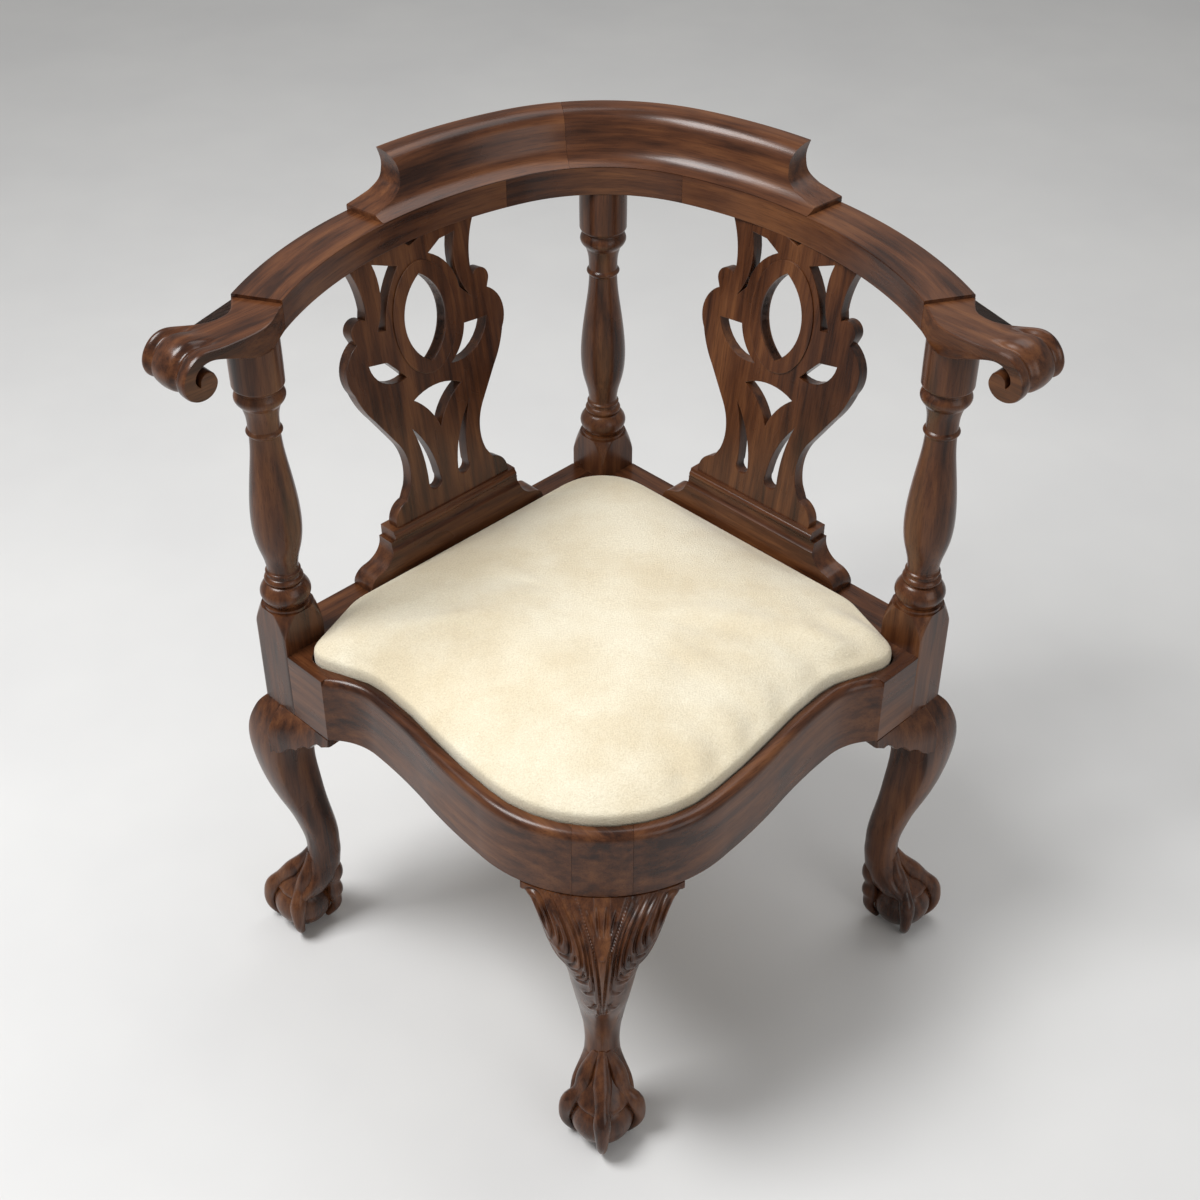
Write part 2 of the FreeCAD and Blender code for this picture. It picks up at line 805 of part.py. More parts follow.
# Shoes and splats

splat_run = arm_reach(45.0) - arm_width / 2 - (rail_middle - splat_front_set)
splat_rake = math.atan2(splat_run, arm_bottom - splat_base)
splat_slope = (arm_bottom - splat_base) / math.cos(splat_rake)


def splat_point(u, v, w=0.0):
    """A point of the right splat: along the rail, up its slope, and back from its front face."""
    v *= splat_slope / splat_drawn_height
    d = rail_middle - splat_front_set + v * math.sin(splat_rake) + w * math.cos(splat_rake)
    return back_right(u, d, splat_base + v * math.cos(splat_rake) - w * math.sin(splat_rake))


def splat_outline():
    """The splat's outer edge, the same on both sides of its middle."""
    right = (
        [(71.0, 272.0), (66.0, 241.0)],
        [(68.0, 233.0)],
        [(79.5, 235.0), (86.0, 220.0)],
        [(83.0, 213.0)],
        [(96.5, 199.0), (95.0, 165.0)],
        [(88.0, 147.0), (78.0, 131.0)],
        [(56.0, 97.0)],
        [(47.5, 71.0), (51.0, 46.0)],
        [(58.0, 34.0)],
        [(69.5, 28.0), (75.0, 0.0)],
    )
    down = chain((84.0, 300.0), *right, place=splat_point)
    mirror = [[(-u, v) for u, v in stretch] for stretch in right]
    left = chain((-84.0, 300.0), *mirror, place=splat_point)
    top = Part.LineSegment(splat_point(-84.0, 300.0), splat_point(84.0, 300.0)).toShape()
    foot = Part.LineSegment(splat_point(75.0, 0.0), splat_point(-75.0, 0.0)).toShape()
    return Part.Wire(Part.__sortEdges__([top] + down + [foot] + left))


def splat_holes():
    """The piercings between the interlaced straps, as faces."""
    holes = (
        ((-1.0, 165.0), [(-26.0, 208.0), (-2.0, 256.0)], [(24.0, 213.0), (-1.0, 165.0)]),
        ((-59.0, 214.0), [(-47.5, 245.0), (-52.0, 281.0)], [(-34.0, 280.0)], [(-18.0, 271.0)],
         [(-41.0, 250.0), (-49.0, 218.0)], [(-59.0, 214.0)]),
        ((56.0, 217.0), [(45.5, 248.0), (49.0, 282.0)], [(34.0, 276.0)], [(21.0, 271.0)],
         [(40.0, 240.0), (47.0, 207.0)], [(56.0, 217.0)]),
        ((-76.0, 184.0), [(-58.0, 158.0), (-25.0, 153.0)], [(-42.0, 171.0), (-48.0, 187.0)], [(-76.0, 184.0)]),
        ((73.0, 187.0), [(57.0, 163.0), (32.0, 160.0)], [(42.0, 172.0), (52.0, 183.0)], [(73.0, 187.0)]),
        ((-32.0, 129.0), [(0.0, 139.0), (28.0, 133.0)], [(11.0, 115.0), (1.0, 94.0)],
         [(-12.0, 115.0), (-32.0, 129.0)]),
        ((-38.0, 105.0), [(-29.0, 75.0), (-26.0, 43.0)], [(-18.0, 32.0), (-12.0, 41.0)],
         [(-20.0, 75.0), (-38.0, 105.0)]),
        ((36.0, 105.0), [(20.0, 77.0), (12.0, 43.0)], [(19.0, 31.0), (27.0, 40.0)],
         [(28.0, 70.0), (36.0, 105.0)]),
    )
    return [region(*hole, place=splat_point) for hole in holes]


def tongue(low, high, half):
    """A slab in the middle of the splat's thickness, between two heights."""
    front = (splat_thick - tongue_thick) / 2
    corners = [splat_point(-half, -30.0, front), splat_point(half, -30.0, front),
               splat_point(half, 330.0, front), splat_point(-half, 330.0, front)]
    through = (splat_point(0, 0, 1) - splat_point(0, 0, 0)) * tongue_thick
    return polygon(corners).extrude(through).common(slab(low, high))


def right_splat():
    """The pierced splat, tongued into its shoe and into the arm."""
    face = Part.Face(splat_outline()).cut(splat_holes())
    through = (splat_point(0, 0, 1) - splat_point(0, 0, 0)) * splat_thick
    shoe_top = rail_top + shoe_height
    body = face.extrude(through).common(slab(shoe_top, arm_bottom))
    foot = tongue(shoe_top - tongue_depth, shoe_top, tongue_half)
    head = tongue(arm_bottom, arm_bottom + tongue_depth, tongue_half)
    return one(body.fuse([foot, head]))


def right_shoe():
    """The moulded plinth of the splat: its section along the rail meets its ogee ends."""
    top = rail_top + shoe_height
    front = rail_middle - shoe_front_set
    reach = shoe_foot_half + 2.0
    section = region(
        (rail_out, rail_top),
        [(front, rail_top)],
        [(front + 1.6, rail_top + 36.0)],
        [(front + 4.6, rail_top + 40.5), (front + 4.4, rail_top + 47.8)],
        [(front + 1.8, rail_top + 51.0), (front + 3.6, top - 3.0)],
        [(front + 4.6, top)],
        [(rail_out - 5.0, top)],
        [(rail_out - 4.0, rail_top + 24.0), (rail_out, rail_top)],
        place=lambda d, z: back_right(-reach, d, z),
    )
    ends = region(
        (-shoe_foot_half, rail_top),
        [(shoe_foot_half, rail_top)],
        [(117.0, rail_top + 11.0), (106.0, rail_top + 19.0)],
        [(91.5, rail_top + 27.0), (86.0, rail_top + 46.0)],
        [(shoe_top_half, rail_top + 46.0)],
        [(shoe_top_half, top)],
        [(-shoe_top_half, top)],
        [(-shoe_top_half, rail_top + 46.0)],
        [(-86.0, rail_top + 46.0)],
        [(-91.5, rail_top + 27.0), (-106.0, rail_top + 19.0)],
        [(-117.0, rail_top + 11.0), (-shoe_foot_half, rail_top)],
        place=lambda u, z: back_right(u, rail_in, z),
    )
    bar = section.extrude(back_right(2 * reach, 0))
    shoe = bar.common(ends.extrude(back_right(0, post_side + 10.0)))
    return one(shoe.cut(tongue(top - tongue_depth, top + 1.0, tongue_half)))


# Corner blocks

def corner_block():
    """The three-cornered block inside the right post."""
    inner = rail_in * ROOT2
    z = rail_bottom + (rail_height - rebate_depth - corner_height) / 2
    leg = corner_leg / ROOT2
    corners = [Vector(inner, 0, z), Vector(inner - leg, leg, z), Vector(inner - leg, -leg, z)]
    return polygon(corners).extrude(Vector(0, 0, corner_height))


def front_corner_block():
    """The block behind the front stump, notched round it."""
    inner = -rail_in * ROOT2
    back = -(front_reach - stump_depth)
    half = stump_width / 2
    z = rail_bottom + (rail_height - rebate_depth - corner_height) / 2
    far = half + corner_leg / ROOT2
    corners = [
        Vector(-half, back, z),
        Vector(half, back, z),
        Vector(half, inner + half, z),
        Vector(far, inner + far, z),
        Vector(-far, inner + far, z),
        Vector(-half, inner + half, z),
    ]
    return polygon(corners).extrude(Vector(0, 0, corner_height))


# Drop-in seat

seat_floor = rebate_floor + ledge_gap
slip_bottom = seat_floor + strap_thick
slip_top = slip_bottom + slip_rail_thick
pad_bottom = slip_top + strap_thick + base_cloth_thick


def seat_ring(inset, z, scale=1.0):
    """Points of the seat's outline drawn in by inset, as many for every inset, at a height."""
    points = []
    for pattern, edge in zip(seat_wire(seat_gap).OrderedEdges, seat_wire(inset).OrderedEdges):
        count = len(pattern.discretize(QuasiDeflection=fabric_facet))
        run = edge.discretize(Number=count)
        if edge.Orientation == "Reversed":
            run.reverse()
        points += run[:-1]
    return [Vector(point.x * scale, point.y * scale, z) for point in points]


def share_within(distance):
    """The scale that draws the seat's outline in by about this distance."""
    return 1.0 - distance / (rail_out - back_land)


def crown(inset, scales):
    """Rings of a cushion's top: they close in and rise, steeply at the edge and flat in the middle."""
    rise = crown_height - (inset - seat_gap)
    rings = []
    for scale in scales:
        z = slip_top + (1.0 - scale ** crown_power) ** crown_bluntness * rise
        rings.append(seat_ring(inset, z, scale))
    return rings


def slip_frame():
    """The four rails of the seat's own frame, half lapped at the corners."""
    inset = seat_gap + cover_thick
    ring = polygon(seat_ring(inset, slip_bottom)).extrude(Vector(0, 0, slip_rail_thick))
    inner = rail_out - back_land - inset - slip_rail_width
    opening = polygon([Vector(inner * ROOT2, 0, 0), Vector(0, inner * ROOT2, 0),
                       Vector(-inner * ROOT2, 0, 0), Vector(0, -inner * ROOT2, 0)])
    ring = ring.cut(opening.extrude(Vector(0, 0, 1000.0)))
    far = 2 * post_reach
    middle = (slip_bottom + slip_top) / 2
    rails = []
    for quarter in range(4):
        strip = Part.makeBox(far, 2 * far, 1000.0, Vector(inner, -far, 0))
        rail = ring.common(turned(strip, 45 + 90 * quarter))
        upper = quarter % 2 == 0
        lost = slab(slip_bottom - 1.0, middle) if upper else slab(middle, slip_top + 1.0)
        for side in (45, 225):
            beside = turned(strip, side + 90 * (quarter + 1))
            rail = rail.cut(beside.common(lost))
        rails.append(one(rail))
    return rails


def webbing():
    """Straps both ways over the frame, as one holed sheet."""
    reach = rail_out - back_land - seat_gap - slip_rail_width / 3
    straps = []
    for quarter in range(2):
        for index in (-1, 0, 1):
            low = index * strap_pitch - strap_width / 2
            strap = Part.makeBox(2 * reach, strap_width, strap_thick, Vector(-reach, low, slip_top))
            straps.append(turned(strap, 45 + 90 * quarter))
    return one(straps[0].multiFuse(straps[1:]))


def base_cloth():
    """Cloth over the straps."""
    low = slip_top + strap_thick
    outline = seat_ring(seat_gap + cover_thick, low, share_within(slip_rail_width / 4))
    return polygon(outline).extrude(Vector(0, 0, base_cloth_thick))


def padding():
    """The stuffing, crowned, on the base cloth and just inside the cover."""
    form = stacked(crown(seat_gap + cover_thick, inner_crown_scales))
    return one(form.common(slab(pad_bottom, arm_bottom)))


def cover():
    """The fabric skin over the padding and down round the frame, turned under its edge."""
    inner = seat_gap + cover_thick
    inside = list(reversed(crown(inner, inner_crown_scales)))
    hem = [
        seat_ring(inner, slip_bottom),
        seat_ring(inner, slip_bottom, share_within(turn_under)),
        seat_ring(inner, seat_floor, share_within(turn_under)),
        seat_ring(seat_gap, seat_floor),
    ]
    return one(stacked(inside + hem + crown(seat_gap, crown_scales)))


# The whole chair

def chair():
    """Every piece by name, about the seat centre."""
    blank = corner_leg_blank()
    rails = {"front_left_rail": front_left_rail(), "back_right_rail": back_right_rail()}
    rails["front_right_rail"] = mirrored(rails["front_left_rail"])
    rails["back_left_rail"] = mirrored(rails["back_right_rail"])
    tenoned = list(rails.values())
    pieces = {
        "right_leg": one(blank.cut(tenoned)),
        "back_leg": one(turned(blank, 90).cut(tenoned)),
        "left_leg": one(turned(blank, 180).cut(tenoned)),
        "front_leg": one(front_leg_blank().cut(tenoned)),
    }

    block = side_knee_block(turned(blank, 180))
    ear = front_ear(pieces["front_leg"])
    pieces["left_leg_front_knee_block"] = block
    pieces["right_leg_front_knee_block"] = mirrored(block)
    pieces["left_leg_back_knee_block"] = block.mirror(ORIGIN, Vector(0, 1, 0))
    pieces["right_leg_back_knee_block"] = mirrored(pieces["left_leg_back_knee_block"])
    pieces["back_leg_left_knee_block"] = turned(pieces["left_leg_front_knee_block"], -90)
    pieces["back_leg_right_knee_block"] = mirrored(pieces["back_leg_left_knee_block"])
    pieces["front_leg_left_knee_block"] = ear
    pieces["front_leg_right_knee_block"] = mirrored(ear)
    for name in [name for name in pieces if name.endswith("knee_block")]:
        leg = pieces[name.split("_leg_")[0] + "_leg"]
        pieces[name] = one(biggest(pieces[name].cut(leg)))

    splat = right_splat()
    shoe = right_shoe()
    pieces.update(right_splat=splat, left_splat=mirrored(splat), right_shoe=shoe, left_shoe=mirrored(shoe))

    left_arm, right_arm, back_block = arms()
    left_crest, right_crest = crests()
    pieces["left_arm"] = one(left_arm.cut(mirrored(splat)))
    pieces["right_arm"] = one(right_arm.cut(splat))
    pieces.update(back_arm_block=back_block, left_crest=left_crest, right_crest=right_crest)

    for name, turn in {"right": 0, "back": 90, "left": 180}.items():
        pieces[name + "_corner_block"] = turned(corner_block(), turn)
    pieces["front_corner_block"] = front_corner_block()
    pieces.update(rails)

    names = ("back_right_slip_rail", "back_left_slip_rail", "front_left_slip_rail", "front_right_slip_rail")
    pieces.update(zip(names, slip_frame()))
    pieces.update(seat_webbing=webbing(), seat_base_cloth=base_cloth(), seat_padding=padding(), seat_cover=cover())
    return pieces


def main():
    """Writes each piece to its own file, shifted so that the origin is in the middle of the chair."""
    os.makedirs("parts", exist_ok=True)
    for name, shape in chair().items():
        shape.translated(Vector(0, seat_shift, 0)).exportStep("parts/%s.step" % name)


main()
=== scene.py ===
"""Looks of a corner chair: dark polished mahogany with a loose seat in cream pile cloth.

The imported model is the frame. Shapes are worked out in millimetres about the seat's centre, with
the front corner towards -Y, and become metres in the frame when a piece is made.
"""
import logging
import math
from collections.abc import Callable
from dataclasses import dataclass, field
from enum import Enum

import bmesh
import bpy
import numpy as np
from mathutils import Matrix, Vector


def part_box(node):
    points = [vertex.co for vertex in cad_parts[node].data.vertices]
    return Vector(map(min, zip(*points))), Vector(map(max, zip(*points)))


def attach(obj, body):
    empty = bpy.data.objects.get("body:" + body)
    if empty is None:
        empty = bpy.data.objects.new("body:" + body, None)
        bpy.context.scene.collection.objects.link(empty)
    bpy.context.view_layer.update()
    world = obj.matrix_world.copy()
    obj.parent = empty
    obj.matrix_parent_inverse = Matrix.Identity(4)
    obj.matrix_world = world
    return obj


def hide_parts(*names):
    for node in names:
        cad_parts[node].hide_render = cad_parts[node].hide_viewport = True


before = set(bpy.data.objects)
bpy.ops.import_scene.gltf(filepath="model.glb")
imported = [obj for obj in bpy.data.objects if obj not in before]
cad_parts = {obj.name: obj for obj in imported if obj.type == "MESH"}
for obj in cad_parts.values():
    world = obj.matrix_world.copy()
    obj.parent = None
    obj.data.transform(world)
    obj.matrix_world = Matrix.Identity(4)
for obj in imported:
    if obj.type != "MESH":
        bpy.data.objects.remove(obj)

Array = np.ndarray
MM = 0.001
ROOT2 = math.sqrt(2.0)
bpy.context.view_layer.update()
# The rails' ends on the side posts mark the seat's centre, which lies behind the frame's origin
SEAT_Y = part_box("back_right_rail")[0].y
FRAME_BODY = "chair_frame"
SEAT_BODY = "drop_in_seat"
RAIL_BOTTOM = 325.0
RAIL_OUT = 239.17
POST_REACH = 305.0
ARM_BOTTOM = 734.5
ARM_TOP = 764.0
log = logging.getLogger("corner_chair")


class Grain(Enum):
    """Where a wood pattern takes its direction from: a carried attribute, or a plan turn in degrees."""

    CARRIED = "grain"
    ALONG_RISING = 45.0
    ALONG_FALLING = -45.0


class Side(Enum):
    """A side of the chair as seen from the front; its value is the sign of X."""

    LEFT = -1
    RIGHT = 1

    @property
    def word(self) -> str:
        """The side as it stands in the names of pieces."""
        return self.name.lower()


class Toe(Enum):
    """A toe of a foot, as seen looking outwards; its value counts quarter turns from the outer one."""

    OUTER = 0
    LEFT = 1
    INNER = 2
    RIGHT = 3


class KneePlace(Enum):
    """A knee block beside a side or back leg.

    Its value mirrors X and Y of the block in front of the left leg, after a turn in degrees.
    """

    LEFT_LEG_FRONT = (1, 1, 0)
    LEFT_LEG_BACK = (1, -1, 0)
    RIGHT_LEG_FRONT = (-1, 1, 0)
    RIGHT_LEG_BACK = (-1, -1, 0)
    BACK_LEG_LEFT = (1, 1, -90)
    BACK_LEG_RIGHT = (-1, 1, -90)


# Curves and surfaces as whole arrays

def spline(at: Array, knots: Array, values: Array) -> Array:
    """Natural cubic spline: piecewise cubics whose second derivatives meet and end at nought.

    Args:
        at: where to read the curve.
        knots: rising parameters of the given values.
        values: one row for each knot.

    Returns:
        One row for each entry of at.
    """
    knots = np.asarray(knots, float)
    table = np.asarray(values, float).reshape(len(knots), -1)
    step = np.diff(knots)
    slope = np.diff(table, axis=0) / step[:, None]
    inner = np.arange(1, len(knots) - 1)
    matrix = np.eye(len(knots))
    matrix[inner, inner - 1] = step[:-1]
    matrix[inner, inner] = 2 * (step[:-1] + step[1:])
    matrix[inner, inner + 1] = step[1:]
    right = np.zeros_like(table)
    right[inner] = 6 * np.diff(slope, axis=0)
    bend = np.linalg.solve(matrix, right)
    at = np.asarray(at, float)
    place = np.clip(np.searchsorted(knots, at) - 1, 0, len(step) - 1)
    run = (at - knots[place])[:, None]
    gap = step[place][:, None]
    first, after = bend[place], bend[place + 1]
    result = table[place] + run * (slope[place] - gap * (2 * first + after) / 6)
    result = result + run ** 2 * first / 2 + run ** 3 * (after - first) / (6 * gap)
    return result[:, 0] if np.ndim(values) == 1 else result


def smooth_path(points: Array, count: int) -> Array:
    """A natural spline through points, by chord length, at evenly spaced parameters."""
    points = np.asarray(points, float)
    chord = np.r_[0, np.cumsum(np.linalg.norm(np.diff(points, axis=0), axis=1))]
    return spline(np.linspace(0, chord[-1], count), chord, points)


def full_turn(count: int) -> Array:
    """Evenly spaced angles round a circle, in radians."""
    return np.linspace(0, 2 * math.pi, count, endpoint=False)


def points_of(x: Array, y: Array, z: Array) -> Array:
    """Points from arrays of coordinates, each stretched to the shape that they make together."""
    return np.stack(np.broadcast_arrays(x, y, z), axis=-1)


def arc(first: Array, middle: Array, last: Array, count: int) -> Array:
    """Plan points of the circle through three points: centre plus radius at evenly turned angles.

    Args:
        first: where the arc starts.
        middle: any point between its ends.
        last: where it ends.
        count: how many points it gets.

    Returns:
        The points, one row each.
    """
    first, middle, last = (np.asarray(p, float) for p in (first, middle, last))
    sides = 2 * np.array([middle - first, last - first])
    centre = np.linalg.solve(sides, [middle @ middle - first @ first, last @ last - first @ first])
    turn = [math.atan2(*(p - centre)[::-1]) for p in (first, middle, last)]
    sense = 1 if np.cross(middle - first, last - middle) > 0 else -1
    sweep = (sense * (turn[2] - turn[0])) % (2 * math.pi) * sense
    angles = np.linspace(turn[0], turn[0] + sweep, count)
    return centre + np.linalg.norm(first - centre) * np.c_[np.cos(angles), np.sin(angles)]


def arcs(start: Array, *stretches: list, count: int = 10) -> Array:
    """Plan points of a chain of lines and arcs.

    Args:
        start: the first point.
        stretches: one point for a line to it, or two for an arc through the first to the second.
        count: how many points an arc gets.

    Returns:
        The points, one row each.
    """
    points = [np.asarray([start], float)]
    for stretch in stretches:
        here = points[-1][-1]
        if len(stretch) == 1:
            points.append(np.linspace(here, stretch[0], 5)[1:])
        else:
            points.append(arc(here, stretch[0], stretch[1], count)[1:])
    return np.concatenate(points)


def superellipse(angles: Array, front: Array, back: Array, half: Array, power: Array) -> Array:
    """Ovals |x/a|^n + |y/b|^n = 1, one to a row, with the middle set to span from back to front.

    Args:
        angles: where to read each oval.
        front: reach forward of the axis, one for each oval.
        back: reach behind the axis.
        half: half of the width, b.
        power: the power n, where 2 is an ellipse and 1 a square on its corner.

    Returns:
        Plan points, as ovals by angles by two.
    """
    reach = (front + back)[:, None] / 2
    middle = (front - back)[:, None] / 2
    cosine, sine = np.cos(angles)[None, :], np.sin(angles)[None, :]
    share = 2.0 / power[:, None]
    x = middle + reach * np.sign(cosine) * np.abs(cosine) ** share
    y = half[:, None] * np.sign(sine) * np.abs(sine) ** share
    return np.stack([x, y], axis=-1)


def bell(distance: Array, width: float) -> Array:
    """A bump of height one: e to the minus (distance over width) squared."""
    return np.exp(-(distance / width) ** 2)


def eased(value: Array) -> Array:
    """Rises smoothly from nought to one as value does: 3t^2 - 2t^3."""
    t = np.clip(value, 0, 1)
    return t * t * (3 - 2 * t)


def turned(points: Array, degrees: float) -> Array:
    """Points turned about the vertical through the seat's centre."""
    turn = math.radians(degrees)
    cosine, sine = math.cos(turn), math.sin(turn)
    matrix = np.array([[cosine, -sine, 0], [sine, cosine, 0], [0, 0, 1]])
    return points @ matrix.T


def along_rail(u: Array, d: Array) -> Array:
    """Plan points by the way along the front left rail, u, and out from the seat's centre, d."""
    return np.stack([(u - d) / ROOT2, -(u + d) / ROOT2], axis=-1)


def read_points(mesh: bpy.types.Mesh) -> Array:
    """The points of a mesh as they stand in it, one row each."""
    points = np.zeros(len(mesh.vertices) * 3, np.float32)
    mesh.vertices.foreach_get("co", points)
    return points.reshape(-1, 3)


def seat_outline(layer: float = 0.3, window: float = 3.0, share: float = 0.965) -> Array:
    """Plan points round the seat's rim, in order of angle: the outer ones at the foot of the cover.

    A point is an outer one where it reaches nearly as far as the furthest point of its neighbourhood.

    Args:
        layer: height above the cover's lowest point up to which its points are read.
        window: half width of the neighbourhood, in degrees.
        share: least part of the neighbourhood's furthest reach.

    Returns:
        The points, one row each.
    """
    points = read_points(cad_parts["seat_cover"].data) / MM - (0, SEAT_Y / MM, 0)
    points = np.unique(np.round(points[points[:, 2] < points[:, 2].min() + layer], 2), axis=0)
    angle = np.degrees(np.arctan2(points[:, 1], points[:, 0]))
    reach = np.hypot(points[:, 0], points[:, 1])
    near = np.abs(angle[:, None] - angle[None]) < window
    furthest = np.where(near, reach[None], 0.0).max(axis=1)
    order = np.argsort(angle)
    return points[order[reach[order] > share * furthest[order]], :2]


def ray_reach(start: Array, way: Array, loop: Array) -> Array:
    """How far each ray runs to a closed loop of plan points.

    A ray p + t n meets the side a + s (b - a) where the cross products of both sides agree.

    Args:
        start: where the rays start.
        way: their directions.
        loop: the loop's points.

    Returns:
        The distance of the nearest meeting, or infinity where there is none.
    """
    edge = np.roll(loop, -1, axis=0) - loop
    gap = loop[None] - start[:, None]
    cross = way[:, None, 0] * edge[None, :, 1] - way[:, None, 1] * edge[None, :, 0]
    cross = np.where(np.abs(cross) < 1e-9, 1e-9, cross)
    t = (gap[..., 0] * edge[None, :, 1] - gap[..., 1] * edge[None, :, 0]) / cross
    s = (gap[..., 0] * way[:, None, 1] - gap[..., 1] * way[:, None, 0]) / cross
    return np.where((t > 0) & (s >= -1e-6) & (s <= 1 + 1e-6), t, np.inf).min(axis=1)


# Shells and pieces

@dataclass
class Shell:
    """One closed surface: its points in millimetres, its faces, and its places in the timber."""

    points: Array
    faces: list
    grain: Array

    def moved(self, how: Callable[[Array], Array]) -> "Shell":
        """The same shell with its points changed by a function."""
        return Shell(how(self.points), self.faces, self.grain)


def loft(rings: Array, paired_ends: bool = False, grain: Array | None = None) -> Shell:
    """Closed surface through closed rings: quads join point k of ring i to point k of ring i + 1.

    Args:
        rings: points, as rings by points by three.
        paired_ends: whether an end is closed by strips between points k and -1-k, not by one face.
        grain: places in the timber with the length first; without it, length runs up the height.

    Returns:
        The shell.
    """
    count, size = rings.shape[:2]
    index = np.arange(count * size).reshape(count, size)
    after = np.roll(index, -1, axis=1)
    quads = np.stack([index[:-1], after[:-1], after[1:], index[1:]], axis=-1).reshape(-1, 4).tolist()
    if paired_ends:
        low = np.arange(size // 2 - 1)
        for ring in (index[0], index[-1]):
            mirror = ring[::-1]
            quads += np.stack([ring[low], ring[low + 1], mirror[low + 1], mirror[low]], axis=-1).tolist()
    else:
        quads += [index[0][::-1].tolist(), index[-1].tolist()]
    points = rings.reshape(-1, 3)
    return Shell(points, quads, points[:, [2, 0, 1]] if grain is None else grain.reshape(-1, 3))


def tube(path: Array, radii: Array, across: Array, sides: int = 20, ridge: float = 0.0) -> Shell:
    """A tube along a path: circles in the planes square to it, closed at both ends.

    Args:
        path: points of its middle line.
        radii: its radius at each of them.
        across: the one direction that the path never takes.
        sides: how many points a circle gets.
        ridge: share of the radius by which the side away from the bend is raised.

    Returns:
        The shell.
    """
    along = np.gradient(path, axis=0)
    along /= np.linalg.norm(along, axis=1)[:, None]
    out = np.cross(along, across)
    out /= np.linalg.norm(out, axis=1)[:, None]
    side = np.cross(out, along)
    angle = full_turn(sides)
    reach = radii[:, None] * (1 + ridge * (np.cos(angle) ** 3)[None, :])
    rings = path[:, None] + reach[..., None] * (
        np.cos(angle)[None, :, None] * out[:, None] + np.sin(angle)[None, :, None] * side[:, None]
    )
    return loft(rings)


def make_mesh(name: str, points: Array, faces: list, grain: Array, sharp: float) -> bpy.types.Object:
    """A mesh object in the frame's metres.

    Args:
        name: the object's name.
        points: its points in millimetres about the seat's centre.
        faces: the points of each face.
        grain: the place in the timber of each point, in millimetres.
        sharp: the angle in degrees from which an edge is shaded hard.

    Returns:
        The object, linked to the scene.
    """
    mesh = bpy.data.meshes.new(name)
    mesh.from_pydata(points * MM + (0, SEAT_Y, 0), [], faces)
    attribute = mesh.attributes.new("grain", "FLOAT_VECTOR", "POINT")
    attribute.data.foreach_set("vector", (grain * MM).astype(np.float32).ravel())
    work = bmesh.new()
    work.from_mesh(mesh)
    bmesh.ops.recalc_face_normals(work, faces=work.faces)
    work.to_mesh(mesh)
    work.free()
    mesh.shade_smooth()
    mesh.set_sharp_from_angle(angle=math.radians(sharp))
    piece = bpy.data.objects.new(name, mesh)
    bpy.context.scene.collection.objects.link(piece)
    return piece


@dataclass
class Piece:
    """A finished piece and how it belongs to the chair.

    The sharp angle is in degrees. The bevel is the width of its arrises in millimetres, and the
    shift moves it in the timber, so that no two pieces show the same figure.
    """

    name: str
    shells: list[Shell]
    nodes: tuple[str, ...]
    material: bpy.types.Material
    slot: str
    body: str = FRAME_BODY
    sharp: float = 32.0
    bevel: float = 0.0
    shift: float = 0.0

    def build(self) -> bpy.types.Object:
        """Makes the object, gives it its finish, and puts it on its body in place of its nodes."""
        starts = np.cumsum([0] + [len(shell.points) for shell in self.shells])
        points = np.concatenate([shell.points for shell in self.shells])
        grain = np.concatenate([shell.grain for shell in self.shells]) + self.shift
        faces = [
            [int(corner + start) for corner in face]
            for shell, start in zip(self.shells, starts)
            for face in shell.faces
        ]
        piece = make_mesh(self.name, points, faces, grain, self.sharp)
        if self.bevel:
            soft = piece.modifiers.new("arris", "BEVEL")
            soft.width = self.bevel * MM
            soft.segments = 2
            soft.limit_method = "ANGLE"
            soft.angle_limit = math.radians(40)
        flats = piece.modifiers.new("flats", "WEIGHTED_NORMAL")
        flats.keep_sharp = True
        finish_piece(piece, self.material, self.slot, self.body, self.nodes)
        return piece


def finish_piece(
    piece: bpy.types.Object, material: bpy.types.Material, slot: str, body: str, nodes: tuple[str, ...]
) -> None:
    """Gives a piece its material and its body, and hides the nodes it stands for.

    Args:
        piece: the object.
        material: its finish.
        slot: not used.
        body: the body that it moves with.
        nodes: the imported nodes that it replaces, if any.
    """
    piece.data.materials.clear()
    piece.data.materials.append(material)
    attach(piece, body)
    if nodes:
        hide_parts(*nodes)
    log.info("%s: %d faces on %s, for %s", piece.name, len(piece.data.polygons), body, nodes or "no node")


# Finishes

# Places of the colour sockets of a mix node, which also has unseen ones of the same names
COLOUR_A, COLOUR_B, COLOUR_OUT = 6, 7, 2


def add(tree: bpy.types.NodeTree, kind: str, sockets: dict | None = None, **settings) -> bpy.types.Node:
    """A new node of a material.

    Args:
        tree: the material's nodes.
        kind: the type of the node.
        sockets: its inputs by name or place, each a value or another node's output.
        settings: its properties.

    Returns:
        The node.
    """
    node = tree.nodes.new(kind)
    for key, value in settings.items():
        setattr(node, key, value)
    for key, value in (sockets or {}).items():
        if isinstance(value, bpy.types.NodeSocket):
            tree.links.new(value, node.inputs[key])
        else:
            node.inputs[key].default_value = value
    return node


def empty_material(name: str) -> tuple[bpy.types.Material, bpy.types.NodeTree]:
    """A material with no nodes yet."""
    material = bpy.data.materials.new(name)
    material.use_nodes = True
    material.node_tree.nodes.clear()
    return material, material.node_tree


